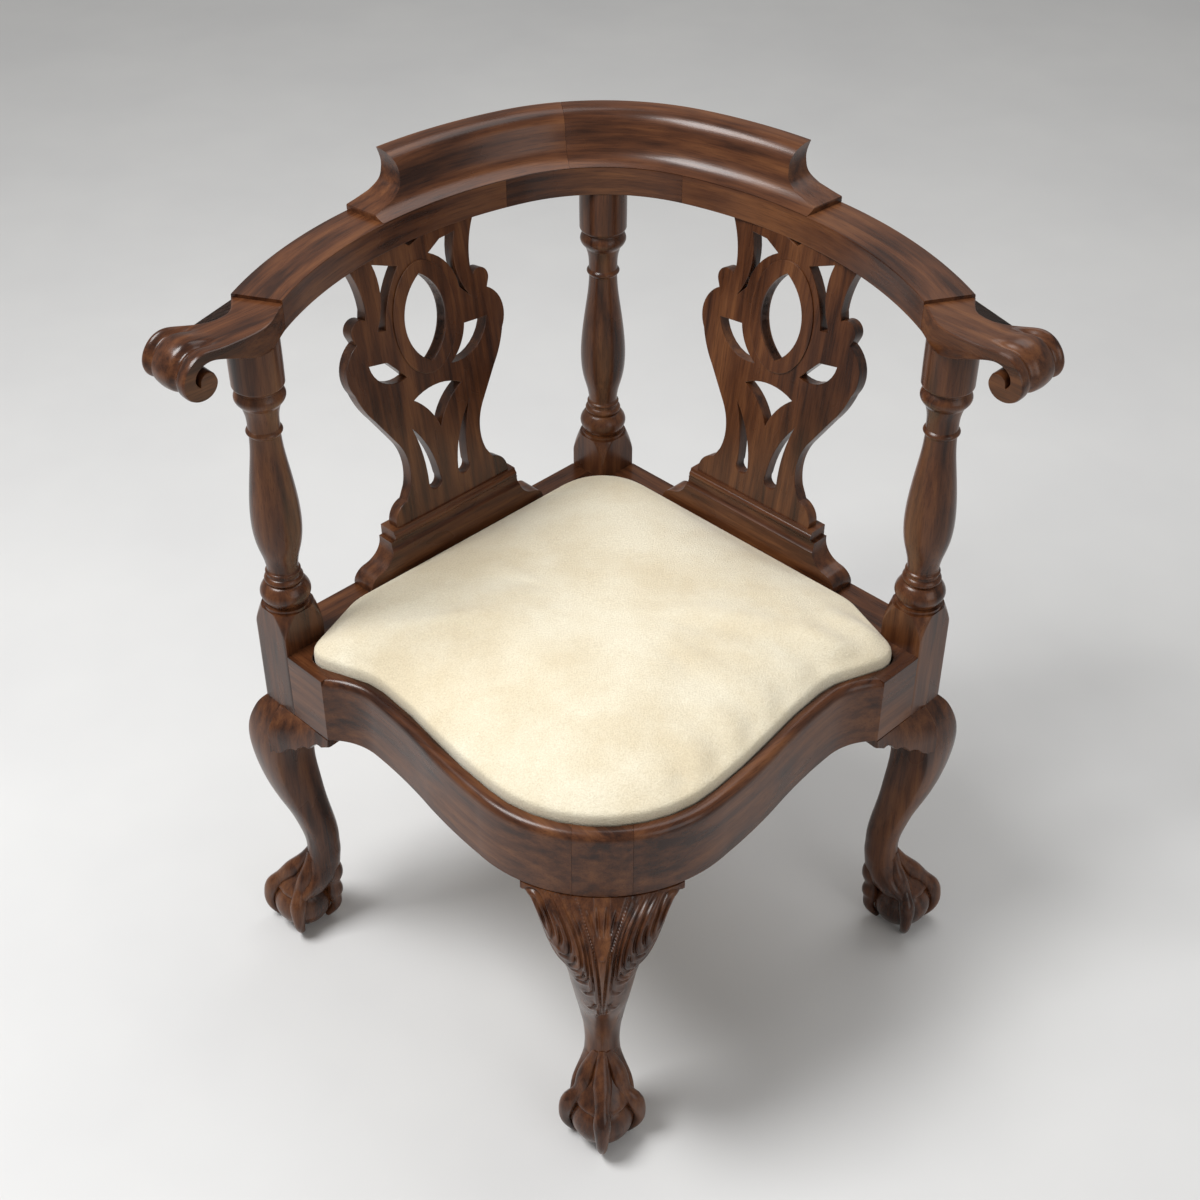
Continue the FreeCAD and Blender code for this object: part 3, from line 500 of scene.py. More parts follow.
def noise(
    tree: bpy.types.NodeTree, vector: bpy.types.NodeSocket, scale: tuple, detail: float
) -> bpy.types.NodeSocket:
    """Fractal noise on a stretched copy of a vector.

    Args:
        tree: the material's nodes.
        vector: the place to read it at.
        scale: its turns to the metre on each axis.
        detail: how many finer layers are added.

    Returns:
        The output with its value.
    """
    stretched = add(tree, "ShaderNodeMapping", {"Vector": vector, "Scale": scale})
    sockets = {"Vector": stretched.outputs[0], "Scale": 1.0, "Detail": detail, "Roughness": 0.6}
    return add(tree, "ShaderNodeTexNoise", sockets).outputs["Fac"]


def ramp(tree: bpy.types.NodeTree, factor: bpy.types.NodeSocket, stops: tuple) -> bpy.types.NodeSocket:
    """Colour by a value.

    Args:
        tree: the material's nodes.
        factor: the output with the value.
        stops: pairs of a value and the colour there.

    Returns:
        The output with the colour.
    """
    node = add(tree, "ShaderNodeValToRGB", {"Fac": factor})
    elements = node.color_ramp.elements
    while len(elements) < len(stops):
        elements.new(0.5)
    for element, (place, colour) in zip(elements, stops):
        element.position = place
        element.color = (*colour, 1.0)
    return node.outputs["Color"]


def multiplied(
    tree: bpy.types.NodeTree, first: bpy.types.NodeSocket, second: bpy.types.NodeSocket, share: float
) -> bpy.types.NodeSocket:
    """The first colour multiplied by a share of the second."""
    sockets = {"Factor": share, COLOUR_A: first, COLOUR_B: second}
    return add(tree, "ShaderNodeMix", sockets, data_type="RGBA", blend_type="MULTIPLY").outputs[COLOUR_OUT]


def surface(tree: bpy.types.NodeTree, sockets: dict, height: bpy.types.NodeSocket, depth: float) -> None:
    """The shader and its bump.

    Args:
        tree: the material's nodes.
        sockets: the shader's inputs by name.
        height: the output that the bump follows.
        depth: the bump's height in metres.
    """
    bump = add(tree, "ShaderNodeBump", {"Height": height, "Distance": depth, "Strength": 1.0})
    shader = add(tree, "ShaderNodeBsdfPrincipled", {**sockets, "Normal": bump.outputs[0]})
    out = add(tree, "ShaderNodeOutputMaterial")
    tree.links.new(shader.outputs[0], out.inputs["Surface"])


@dataclass(frozen=True)
class Wood:
    """A timber: streaks and pores stretched along the grain, under clouds of colour.

    Gloss is its least and greatest roughness. Streaks and pores are in turns to the metre across it.
    """

    name: str
    dark: tuple[float, float, float]
    middle: tuple[float, float, float]
    light: tuple[float, float, float]
    gloss: tuple[float, float]
    coat: float
    streaks: float = 105.0
    pores: float = 900.0

    def material(self, grain: Grain) -> bpy.types.Material:
        """The material for pieces whose grain runs this way."""
        material, tree = empty_material("%s_%s" % (self.name, grain.name.lower()))
        if grain is Grain.CARRIED:
            place = add(tree, "ShaderNodeAttribute", attribute_name=grain.value).outputs["Vector"]
        else:
            object_place = add(tree, "ShaderNodeTexCoord").outputs["Object"]
            turn = (0, 0, -math.radians(grain.value))
            place = add(tree, "ShaderNodeMapping", {"Vector": object_place, "Rotation": turn}).outputs[0]
        streak = noise(tree, place, (7.0, self.streaks, self.streaks), 8.0)
        cloud = noise(tree, place, (6.0, 17.0, 17.0), 3.0)
        pore = noise(tree, place, (38.0, self.pores, self.pores), 2.0)
        part = add(tree, "ShaderNodeMath", {0: cloud, 1: 0.45}, operation="MULTIPLY").outputs[0]
        tone = add(tree, "ShaderNodeMath", {0: streak, 1: 0.62, 2: part}, operation="MULTIPLY_ADD").outputs[0]
        colour = ramp(tree, tone, ((0.42, self.dark), (0.54, self.middle), (0.68, self.light)))
        speck = ramp(tree, pore, ((0.36, (0.55, 0.5, 0.5)), (0.46, (1, 1, 1))))
        mixed = multiplied(tree, colour, speck, 0.7)
        smooth, rough = self.gloss
        limits = {"Value": cloud, "From Min": 0.3, "From Max": 0.7, "To Min": smooth, "To Max": rough}
        sockets = {
            "Base Color": mixed,
            "Roughness": add(tree, "ShaderNodeMapRange", limits).outputs[0],
            "Coat Weight": self.coat,
            "Coat Roughness": 0.16,
            "Specular IOR Level": 0.3,
        }
        surface(tree, sockets, pore, 0.00006)
        return material


@dataclass(frozen=True)
class Cloth:
    """A fabric: clouds of colour under a fine pile or an open weave."""

    name: str
    low: tuple[float, float, float]
    high: tuple[float, float, float]
    sheen: float
    threads: float
    woven: bool = True

    def material(self) -> bpy.types.Material:
        """Pile is fine noise; a weave is two crossed sets of waves, along the rails."""
        material, tree = empty_material(self.name)
        place = add(tree, "ShaderNodeTexCoord").outputs["Object"]
        cloud = noise(tree, place, (11.0,) * 3, 6.0)
        if self.woven:
            turn = add(tree, "ShaderNodeMapping", {"Vector": place, "Rotation": (0, 0, math.pi / 4)})
            thread = {"Vector": turn.outputs[0], "Scale": self.threads, "Distortion": 0.6}
            warp, weft = (add(tree, "ShaderNodeTexWave", thread, bands_direction=way).outputs["Fac"]
                          for way in ("X", "Y"))
            relief = add(tree, "ShaderNodeMath", {0: warp, 1: weft}, operation="MAXIMUM").outputs[0]
        else:
            relief = noise(tree, place, (self.threads,) * 3, 4.0)
        colour = ramp(tree, cloud, ((0.35, self.low), (0.62, self.high)))
        fine = ramp(tree, relief, ((0.25, (0.80, 0.78, 0.74)), (0.65, (1, 1, 1))))
        mixed = multiplied(tree, colour, fine, 1.0)
        limits = {"Value": relief, "To Min": 0.82, "To Max": 0.98}
        sockets = {
            "Base Color": mixed,
            "Roughness": add(tree, "ShaderNodeMapRange", limits).outputs[0],
            "Sheen Weight": self.sheen,
            "Sheen Roughness": 0.5,
            "Specular IOR Level": 0.2,
        }
        surface(tree, sockets, relief, 0.0011)
        return material


@dataclass(frozen=True)
class Steel:
    """Dulled steel of old screws."""

    name: str = "old_steel"

    def material(self) -> bpy.types.Material:
        """Grey metal with darker spots."""
        material, tree = empty_material(self.name)
        place = add(tree, "ShaderNodeTexCoord").outputs["Object"]
        spots = noise(tree, place, (700.0,) * 3, 4.0)
        colour = ramp(tree, spots, ((0.4, (0.12, 0.10, 0.09)), (0.6, (0.38, 0.36, 0.34))))
        surface(tree, {"Base Color": colour, "Metallic": 0.9, "Roughness": 0.45}, spots, 0.00005)
        return material


MAHOGANY = Wood(
    "mahogany",
    dark=(0.028, 0.0085, 0.0034),
    middle=(0.082, 0.0270, 0.0095),
    light=(0.150, 0.056, 0.0195),
    gloss=(0.22, 0.36),
    coat=0.12,
)
BEECH = Wood(
    "plain_beech",
    dark=(0.30, 0.18, 0.09),
    middle=(0.50, 0.34, 0.19),
    light=(0.62, 0.46, 0.28),
    gloss=(0.55, 0.7),
    coat=0.0,
)
PILE = Cloth("cream_pile", (0.79, 0.69, 0.50), (0.89, 0.82, 0.65), sheen=0.3, threads=620.0, woven=False)
HESSIAN = Cloth("hessian", (0.38, 0.29, 0.17), (0.52, 0.41, 0.26), sheen=0.1, threads=90.0)
JUTE = Cloth("jute_webbing", (0.30, 0.22, 0.13), (0.45, 0.35, 0.22), sheen=0.1, threads=60.0)


@dataclass
class Finishes:
    """Every material, made once."""

    wood: bpy.types.Material = field(default_factory=lambda: MAHOGANY.material(Grain.CARRIED))
    rising: bpy.types.Material = field(default_factory=lambda: MAHOGANY.material(Grain.ALONG_RISING))
    falling: bpy.types.Material = field(default_factory=lambda: MAHOGANY.material(Grain.ALONG_FALLING))
    beech_rising: bpy.types.Material = field(default_factory=lambda: BEECH.material(Grain.ALONG_RISING))
    beech_falling: bpy.types.Material = field(default_factory=lambda: BEECH.material(Grain.ALONG_FALLING))
    pile: bpy.types.Material = field(default_factory=PILE.material)
    hessian: bpy.types.Material = field(default_factory=HESSIAN.material)
    jute: bpy.types.Material = field(default_factory=JUTE.material)
    steel: bpy.types.Material = field(default_factory=Steel().material)


# Carving of the front knee

@dataclass(frozen=True)
class Acanthus:
    """Leaf carving, mirrored about the middle: each line is drawn by places across and up, in mm.

    Each line is a groove of a width and depth. The lips stand beside it, at a distance, as a share
    of its depth. A round berry sits on the middle.
    """

    lines: tuple = (
        ((71.0, 316.0), (66.0, 321.0), (60.0, 321.5), (52.0, 313.0), (46.5, 301.0), (44.0, 290.0),
         (46.0, 283.0)),
        ((50.0, 324.0), (39.0, 312.0), (31.5, 298.0), (28.5, 286.0), (31.0, 277.5), (37.0, 275.0)),
        ((41.0, 324.0), (28.0, 306.0), (20.5, 290.0), (18.2, 276.0), (21.0, 265.0), (27.0, 262.0)),
        ((34.0, 322.0), (21.5, 304.0), (14.3, 283.0), (12.6, 263.0), (15.5, 250.5), (22.0, 247.0)),
        ((28.0, 319.0), (16.5, 301.0), (10.2, 278.0), (8.2, 250.0), (9.8, 235.0), (14.5, 231.0)),
        ((22.5, 323.0), (14.2, 306.0), (7.6, 290.0), (4.4, 270.0), (2.6, 236.0), (1.2, 192.0)),
        ((60.0, 315.0), (54.0, 305.0), (51.5, 296.0)),
        ((40.0, 301.0), (37.0, 290.0), (38.5, 282.0)),
        ((24.0, 281.0), (24.5, 273.0), (28.5, 268.0)),
        ((16.0, 268.0), (17.5, 258.0), (21.5, 253.0)),
        ((6.0, 214.0), (7.5, 206.0), (11.0, 201.0)),
        ((13.0, 316.0), (10.0, 309.0), (8.0, 304.0)),
        ((4.6, 318.0), (3.8, 309.0), (3.0, 302.0)),
    )
    lowest: float = 175.0
    highest: float = 330.0
    width: float = 1.4
    depth: float = 2.5
    lip_share: float = 0.45
    lip_distance: float = 3.2
    lip_width: float = 2.0
    berry_height: float = 286.0
    berry_radius: float = 2.6
    berry_rise: float = 1.6

    def cut(self, across: Array, height: Array) -> Array:
        """Depth of the carving at each place: a groove with a raised lip on each side of every line.

        Args:
            across: distance from the middle.
            height: height above the floor.

        Returns:
            Millimetres to sink the surface by, negative where it is raised.
        """
        spot = np.stack([np.abs(across).ravel(), height.ravel()], axis=-1)
        depth = np.zeros(len(spot))
        near = (spot[:, 1] > self.lowest) & (spot[:, 1] < self.highest)
        sunk = np.zeros(int(near.sum()))
        raised = np.zeros_like(sunk)
        for line in self.lines:
            path = smooth_path(np.array(line), 60)
            gap = np.linalg.norm(spot[near][:, None] - path[None], axis=-1)
            share = gap.argmin(axis=1) / (len(path) - 1)
            least = gap.min(axis=1)
            taper = 0.3 + 0.7 * np.sin(math.pi * np.clip(share, 0.03, 0.97)) ** 0.6
            lip = bell(least - self.lip_distance, self.lip_width)
            sunk = np.maximum(sunk, self.depth * taper * bell(least, self.width))
            raised = np.maximum(raised, self.lip_share * self.depth * taper * lip)
        depth[near] = sunk - raised * (1 - np.clip(sunk / self.depth, 0, 1))
        middle = np.hypot(spot[:, 0], spot[:, 1] - self.berry_height)
        depth -= self.berry_rise * np.sqrt(np.clip(1 - (middle / self.berry_radius) ** 2, 0, 1))
        return depth.reshape(across.shape)


ACANTHUS = Acanthus()


# Legs

@dataclass
class Leg:
    """What every leg has: a cabriole leg with a ball-and-claw foot, about an axis on +X.

    At each height the leg's section is an oval with a reach out and back, half a width and a power.
    A crowd under one brings the rows closer together at the knee, for carving.
    """

    name: str
    angle: float
    axis: float = POST_REACH
    ball_radius: float = 31.0
    ball_height: float = 29.6
    foot_reach: float = 26.0
    crowd: float = 1.0
    heights: tuple = (50, 58, 69, 84, 96, 105, 116, 129, 148, 168, 187, 209, 233, 255, 276, 296, 310, 319,
                      RAIL_BOTTOM)
    out: tuple = (44, 42, 33, 21.5, 15.5, 14, 13.5, 15, 20, 27, 36, 45, 52, 56, 57, 53, 46.5, 40, 33.2)
    back: tuple = (2, 8, 15, 19.5, 21, 22, 22, 22, 20, 16.5, 13.5, 11, 8.5, 8, 12, 20, 26, 31, 33.2)
    half: tuple = (18, 20, 22, 19, 17.5, 17, 17.3, 18.2, 20.5, 23, 25.3, 28, 31.2, 33.2, 34.5, 34.4, 33.8,
                   33.4, 33.2)
    power: tuple = (1.5, 1.5, 1.55, 1.7, 1.8, 1.85, 1.8, 1.75, 1.7, 1.62, 1.55, 1.5, 1.42, 1.36, 1.28, 1.18,
                    1.1, 1.03, 1)

    def cabriole(self, rows: int = 130, sides: int = 96) -> Array:
        """Rings of the leg: ovals whose sizes are splines of the height.

        Args:
            rows: how many rings.
            sides: how many points to a ring.

        Returns:
            Points, as rings by points by three.
        """
        ankle = self.heights[0]
        z = ankle + (RAIL_BOTTOM - ankle) * np.linspace(0, 1, rows) ** self.crowd
        sizes = [spline(z, self.heights, values) for values in (self.out, self.back, self.half, self.power)]
        turn = full_turn(sides)
        plan = superellipse(turn - (1 - self.crowd) * np.sin(turn) * 2.0, *sizes)
        return points_of(plan[..., 0] + self.axis, plan[..., 1], z[:, None])

    def ball(self) -> Shell:
        """The ball: circles of latitude, flattened where it stands on the floor."""
        pole = math.pi / 2 - 0.05
        up = np.linspace(-pole, pole, 34)[:, None]
        turn = full_turn(56)
        rings = self.ball_radius * points_of(np.cos(up) * np.cos(turn), np.cos(up) * np.sin(turn), np.sin(up))
        rings[..., 2] = np.maximum(rings[..., 2], -self.ball_height)
        return loft(rings + (self.axis + self.foot_reach, 0, self.ball_height))

    def toe(self, which: Toe) -> Shell:
        """A knuckled toe: a tube over the ball from the ankle to the floor, which cuts it flat.

        Its line is drawn by reach from the ball's middle and height over it, and turned to its side
        of the ball. The side toes come from further back on the ankle.

        Args:
            which: the toe.

        Returns:
            The shell.
        """
        ankle = {
            Toe.OUTER: ((-16, 74), (2, 48)),
            Toe.LEFT: ((4, 74), (14, 46)),
            Toe.INNER: ((32, 70), (37, 41)),
            Toe.RIGHT: ((4, 74), (14, 46)),
        }[which]
        first_knuckle = ((35, 24), (35.5, 13)) if which is Toe.INNER else ((20, 31.5), (29, 20.5))
        line = np.array([*ankle, *first_knuckle, (34.2, 8), (35.6, -5), (31.5, -18), (24.5, -27.5)])
        lag = -17.0 if which in (Toe.LEFT, Toe.RIGHT) else 0.0
        drift = lag * np.array([1, 0.6, 0.22, 0.05, 0, 0, 0, 0])
        way = math.radians(90 * which.value)
        out = np.array([math.cos(way), math.sin(way), 0])
        across = np.array([-math.sin(way), math.cos(way), 0])
        knots = line[:, :1] * out + line[:, 1:] * (0, 0, 1) + drift[:, None] * (1, 0, 0)
        count = 60
        path = smooth_path(knots, count) + (self.axis + self.foot_reach, 0, self.ball_height)
        widths = np.array([5.0, 6.6, 9.6, 7.6, 9.0, 7.2, 5.8, 3.0])
        radii = smooth_path(widths[:, None] * (1, 0), count)[:, 0]
        shell = tube(path, radii, across, 24, 0.08)
        shell.points[:, 2] = np.maximum(shell.points[:, 2], 0.0)
        return shell

    def web(self) -> Shell:
        """The skin between the toes: rings with four lobes that widen from the ankle over the ball.

        A ring's reach is a core, with cos(2 angle)^6 added for the lobes, which fade with height.
        """
        knots = np.array([(48.5, 22.5, 25.0), (51.0, 25.4, 23.5), (57.0, 26.4, 19.0), (66.0, 24.6, 12.0),
                          (76.0, 21.6, 5.5), (88.0, 18.8, 0.5), (102.0, 16.0, -4.0)])
        lobe_reach, fade_from, fade_over = 5.0, 60.0, 34.0
        z = np.linspace(knots[0, 0], knots[-1, 0], 44)
        core, middle = spline(z, knots[:, 0], knots[:, 1:]).T
        angle = full_turn(96)
        fade = 1 - eased((z - fade_from) / fade_over)
        reach = core[:, None] + lobe_reach * fade[:, None] * np.cos(2 * angle) ** 6
        middle = middle[:, None] + self.axis
        return loft(points_of(middle + reach * np.cos(angle), reach * np.sin(angle), z[:, None]))

    def foot(self) -> list[Shell]:
        """Ball, toes and web."""
        return [self.ball(), self.web()] + [self.toe(which) for which in Toe]

    def placed(self, shells: list[Shell]) -> list[Shell]:
        """The shells turned to this leg's corner of the chair."""
        return [shell.moved(lambda points: turned(points, self.angle)) for shell in shells]


@dataclass
class CornerLeg(Leg):
    """A side or back leg: foot, cabriole leg, square post and turned column in one length of wood."""

    post_half: float = 23.5
    shoulder: float = 420.0
    block_top: float = 444.0
    rounding: float = 7.4
    arris: float = 0.7

    def column(self) -> Shell:
        """Turned column, from the post's top to the arm rail: one profile of heights and radii.

        Beads, hollows and collars are (low, high, radius, radius, bulge): a line from one radius to
        the other, plus half a sine wave. The vase and the neck are splines through their points.
        """
        turnings = (
            (self.block_top, 447.5, 22.9, 22.9, 0.0),
            (448.5, 470.5, 19.8, 19.2, 5.1),
            (471.4, 478.6, 17.0, 16.8, 2.0),
            (479.0, 481.4, 16.0, 15.6, 0.0),
            (481.4, 485.2, 15.6, 15.4, 1.5),
            (485.6, 489.0, 15.2, 15.2, -0.3),
            (636.6, 643.4, 14.7, 14.8, 2.3),
            (668.0, 684.0, 18.6, 20.6, 4.0),
            (684.6, 687.2, 21.2, 21.6, -0.6),
            (687.4, 689.4, 23.0, 24.0, 0.2),
            (689.4, ARM_BOTTOM, 24.1, 24.1, 0.15),
        )
        vase = ((489.0, 15.2), (497.0, 16.4), (512.0, 20.3), (539.0, 23.6), (566.0, 22.3), (600.0, 18.0),
                (624.0, 15.1), (636.0, 14.5))
        neck = ((643.8, 14.8), (652.0, 14.9), (660.0, 16.0), (667.0, 18.0))
        chamfer = np.array([(447.9, 21.2)])
        profile = [chamfer]
        t = np.linspace(0, 1, 14)
        for low, high, start, end, bulge in turnings:
            profile.append(np.c_[low + (high - low) * t,
                                 start + (end - start) * t + bulge * np.sin(math.pi * t)])
        for knots in map(np.array, (vase, neck)):
            z = np.linspace(knots[0, 0], knots[-1, 0], 40)
            profile.append(np.c_[z, spline(z, knots[:, 0], knots[:, 1])])
        line = np.concatenate(profile)
        line = line[np.argsort(line[:, 0], kind="stable")]
        height, radius = line[:, :1], line[:, 1:]
        turn = full_turn(72)
        return loft(points_of(radius * np.cos(turn) + self.axis, radius * np.sin(turn), height))

    def post(self) -> Shell:
        """Square post: the lesser of a square's reach and a radius that shrinks over the shoulder."""
        z = np.r_[RAIL_BOTTOM, RAIL_BOTTOM + 2, np.linspace(self.shoulder - 2, self.block_top, 22)]
        turn = full_turn(144)
        flat = np.maximum(np.abs(np.cos(turn - math.pi / 4)), np.abs(np.sin(turn - math.pi / 4)))
        share = np.clip((z - self.shoulder) / (self.block_top - self.shoulder), 0, 1)
        limit = self.post_half * ROOT2 - self.rounding * share ** 1.35 - self.arris
        reach = np.minimum((self.post_half / flat)[None, :], limit[:, None])
        return loft(points_of(reach * np.cos(turn) + self.axis, reach * np.sin(turn), z[:, None]))

    def build(self, finishes: Finishes) -> None:
        """Makes the whole leg as one piece."""
        shells = [loft(self.cabriole()), self.post(), self.column()] + self.foot()
        Piece(self.name + "_carved", self.placed(shells), (self.name,), finishes.wood, "mahogany",
              sharp=38.0, shift=self.angle * 3.1).build()


@dataclass
class SideKneeBlock:
    """A knee block beside a corner leg: its face swells from the rail to the knee.

    Its root is at the leg and its tip along the rail. Its lower edge falls towards the leg, with
    three scallops. The drop is its depth under the rail at the leg.
    """

    place: KneePlace
    root: float = -216.0
    tip: float = -140.2
    back: float = 206.0
    swell: float = 17.5
    drop: float = 54.0
    tip_drop: float = 8.0
    plain_tip: float = 10.0
    scallops: int = 3
    scallop_length: float = 17.0
    scallop_depth: float = 5.2

    def shell(self) -> Shell:
        """Sections along the rail: face out = rail + swell(1-s)^1.35 f(drop), down to the scalloped edge."""
        s = np.linspace(0, 1, 70)
        u = self.root + (self.tip - self.root) * s
        inward = (1 - s) * (self.tip - self.root)
        way = np.clip(inward - self.plain_tip, 0, self.scallops * self.scallop_length)
        lobes = (self.scallop_depth * np.abs(np.sin(math.pi * way / self.scallop_length))
                 * (inward > self.plain_tip))
        low = self.tip_drop + (self.drop - self.tip_drop) * (inward / 76.0) ** 1.02
        low = np.minimum(low - lobes * (1 - inward / 140.0), self.drop)[:, None]
        drop = low * np.linspace(0, 1, 30)
        rise = 1 - (1 - np.clip(drop / 34.0, 0, 1)) ** 2.4
        face = RAIL_OUT + 0.3 + (self.swell * (1 - s) ** 1.35 + 2.0)[:, None] * rise
        edge = np.linspace(0, 1, 5)[1:]
        under_out = face[:, -1:] - 3.0 * (1 - np.cos(edge * math.pi / 2)) - 2.0 * edge
        under_low = low + 1.6 * np.sin(edge * math.pi / 2)
        out = np.hstack([face, under_out, np.full((len(s), 2), self.back)])
        down = np.hstack([drop, under_low, low - 1.0, np.zeros_like(low)])
        plan = along_rail(np.broadcast_to(u[:, None], out.shape), out)
        return loft(np.dstack([plan, RAIL_BOTTOM - down]))

    def build(self, finishes: Finishes) -> None:
        """Makes the block beside its leg."""
        x_sign, y_sign, turn = self.place.value
        name = self.place.name.lower() + "_knee_block"
        shell = self.shell().moved(lambda points: turned(points, turn) * (x_sign, y_sign, 1))
        Piece(name + "_carved", [shell], (name,), finishes.wood, "mahogany", sharp=40.0, bevel=0.5,
              shift=len(name) * 9.0).build()


# Front corner: rails, stump, front leg and its carved ears

@dataclass
class FrontCorner:
    """The serpentine rails, and the front leg between them with its carved knee.

    The wave is drawn by shares of the way from the post's block to the rounded nose, and of its
    depth. The rails have a rebate for the seat, down to the floor, and an eased top edge.
    """

    rail_in: float = 192.17
    post_face: float = 192.17
    block_end: float = -139.97
    wave_depth: float = 19.6
    wave: tuple = ((0.124, 0.84), (0.243, 1.0), (0.413, 0.87), (0.642, 0.50), (0.85, 0.20))
    nose_radius: float = 147.0
    front_reach: float = 275.63
    meet_angle: float = 50.05
    stump_half: float = 27.2
    stump_thick: float = 46.6
    knee_spread: float = 48.0
    floor: float = 386.5
    top: float = 400.5
    ease: float = 8.5
    block_ease: float = 0.6
    seat_gap: float = 1.7

    def nose(self, angle: Array) -> Array:
        """Points of the rounded front, by the angle to the left of the front, in degrees."""
        turn = np.radians(-90.0 - angle)
        centre = np.array([0.0, -(self.front_reach - self.nose_radius)])
        return centre + self.nose_radius * np.stack([np.cos(turn), np.sin(turn)], axis=-1)

    def outer_line(self) -> tuple[Array, Array]:
        """The left rail's outer line and how far its top edge is rounded at each point."""
        meet = self.nose(np.array(self.meet_angle))
        end_u, end_d = (meet[0] - meet[1]) / ROOT2, -(meet[0] + meet[1]) / ROOT2
        span = end_u - self.block_end
        spots = [(self.block_end + share * span, RAIL_OUT - deep * self.wave_depth)
                 for share, deep in self.wave]
        chain = arcs((self.block_end, RAIL_OUT), spots[0:2], spots[2:4], [spots[4], (end_u, end_d)], count=22)
        count = 14
        block = np.c_[np.linspace(-self.post_face, self.block_end, count), np.full(count, RAIL_OUT)]
        stump = math.degrees(math.asin(self.stump_half / self.nose_radius))
        nose = self.nose(np.linspace(self.meet_angle, stump, 34))
        line = np.concatenate([along_rail(*block.T), along_rail(*chain.T), nose[1:]])
        ease = np.r_[np.full(count, self.block_ease), np.full(len(line) - count, self.ease)]
        return line, ease

    def sections(self, line: Array, ease: Array, inner: Array) -> Shell:
        """A rail: at each point of its line a section with a rebate and a rounded outer top edge.

        Args:
            line: plan points of its outer face.
            ease: radius of the rounded edge at each of them.
            inner: plan points of its inner face, one for each of them.

        Returns:
            The shell, whose rebate follows the seat's rim at a gap.
        """
        arris = 1.2
        lip = 0.8
        depth = np.linalg.norm(inner - line, axis=1)
        inward = (inner - line) / depth[:, None]
        rim = seat_outline()
        rim *= 1 + self.seat_gap / np.linalg.norm(rim, axis=1)[:, None]
        land = np.minimum(ray_reach(line, inward, rim), depth - 1.0)
        face = np.zeros(len(line))
        low = [(depth, RAIL_BOTTOM), (face + arris, RAIL_BOTTOM),
               (face, RAIL_BOTTOM + arris), (face, self.floor)]
        edge = [(ease * (1 - math.cos(turn)), self.top - ease * (1 - math.sin(turn)))
                for turn in np.linspace(0, math.pi / 2, 8)]
        rebate = [(land - lip, self.top), (land, self.top - lip), (land, self.floor), (depth, self.floor)]
        distance, height = (np.stack(np.broadcast_arrays(*rows, face)[:-1], axis=1)
                            for rows in zip(*(low + edge + rebate)))
        plan = line[:, None] + inward[:, None] * distance[..., None]
        along = (plan[..., 0] - plan[..., 1]) / ROOT2
        across = -(plan[..., 0] + plan[..., 1]) / ROOT2
        return loft(np.dstack([plan, height]), grain=points_of(along, across, height))

    def inner_line(self, line: Array) -> Array:
        """The rail's straight inner face, point for point with its outer line."""
        u = (line[:, 0] - line[:, 1]) / ROOT2
        last = self.rail_in - ROOT2 * self.stump_half
        share = (u - u[0]) / (u[-1] - u[0])
        inner_u = -self.post_face + share * (last + self.post_face)
        return along_rail(inner_u, np.full(len(u), self.rail_in))

    def rail(self, finishes: Finishes, side: Side) -> None:
        """Makes one front rail."""
        line, ease = self.outer_line()
        shell = self.sections(line, ease, self.inner_line(line))
        shell = shell.moved(lambda points: points * (-side.value, 1, 1))
        name = "front_%s_rail" % side.word
        Piece(name + "_shaped", [shell], (name,), finishes.wood, "mahogany", sharp=38.0, bevel=0.4,
              shift=-40.0 * side.value).build()

    def stump(self) -> Shell:
        """The square of the front leg between the rails, drawn a hair narrower than their gap."""
        half = math.degrees(math.asin(self.stump_half / self.nose_radius)) * 0.992
        count = 24
        line = self.nose(np.linspace(half, -half, count))
        back = -(self.front_reach - self.stump_thick)
        inner = np.c_[np.linspace(line[0, 0], line[-1, 0], count), np.full(count, back)]
        return self.sections(line, np.full(count, self.ease), inner)

    def knee_face(self, x: Array, z: Array, leg: Leg) -> Array:
        """How far forward the front knee stands: the rounded front plus a swelling s(z) e^-(x/spread)^2.

        Args:
            x: distances from the middle.
            z: heights, in an array of the same shape.
            leg: the front leg, whose reach at each height sets the swelling.

        Returns:
            Distances in front of the seat's centre.
        """
        reach = spline(z.ravel(), leg.heights, leg.out).reshape(z.shape) + leg.axis - self.front_reach
        front = self.front_reach - self.nose_radius + np.sqrt(self.nose_radius ** 2 - x ** 2)
        return front + reach * bell(x, self.knee_spread)

    def front_leg(self) -> Leg:
        """The front leg's sizes: its axis is nearer, so its knee starts flush with the rounded front."""
        out = (*Leg.out[:-4], 47.0, 34.0, 24.0, 17.6)
        back = (*Leg.back[:-4], 20.0, 25.0, 28.0, 29.0)
        power = (*Leg.power[:10], 1.66, 1.66, 1.66, 1.7, 1.8, 1.9, 2.0, 2.0, 2.0)
        return Leg("front_leg", -90.0, axis=258.3, crowd=0.72, out=out, back=back, power=power)

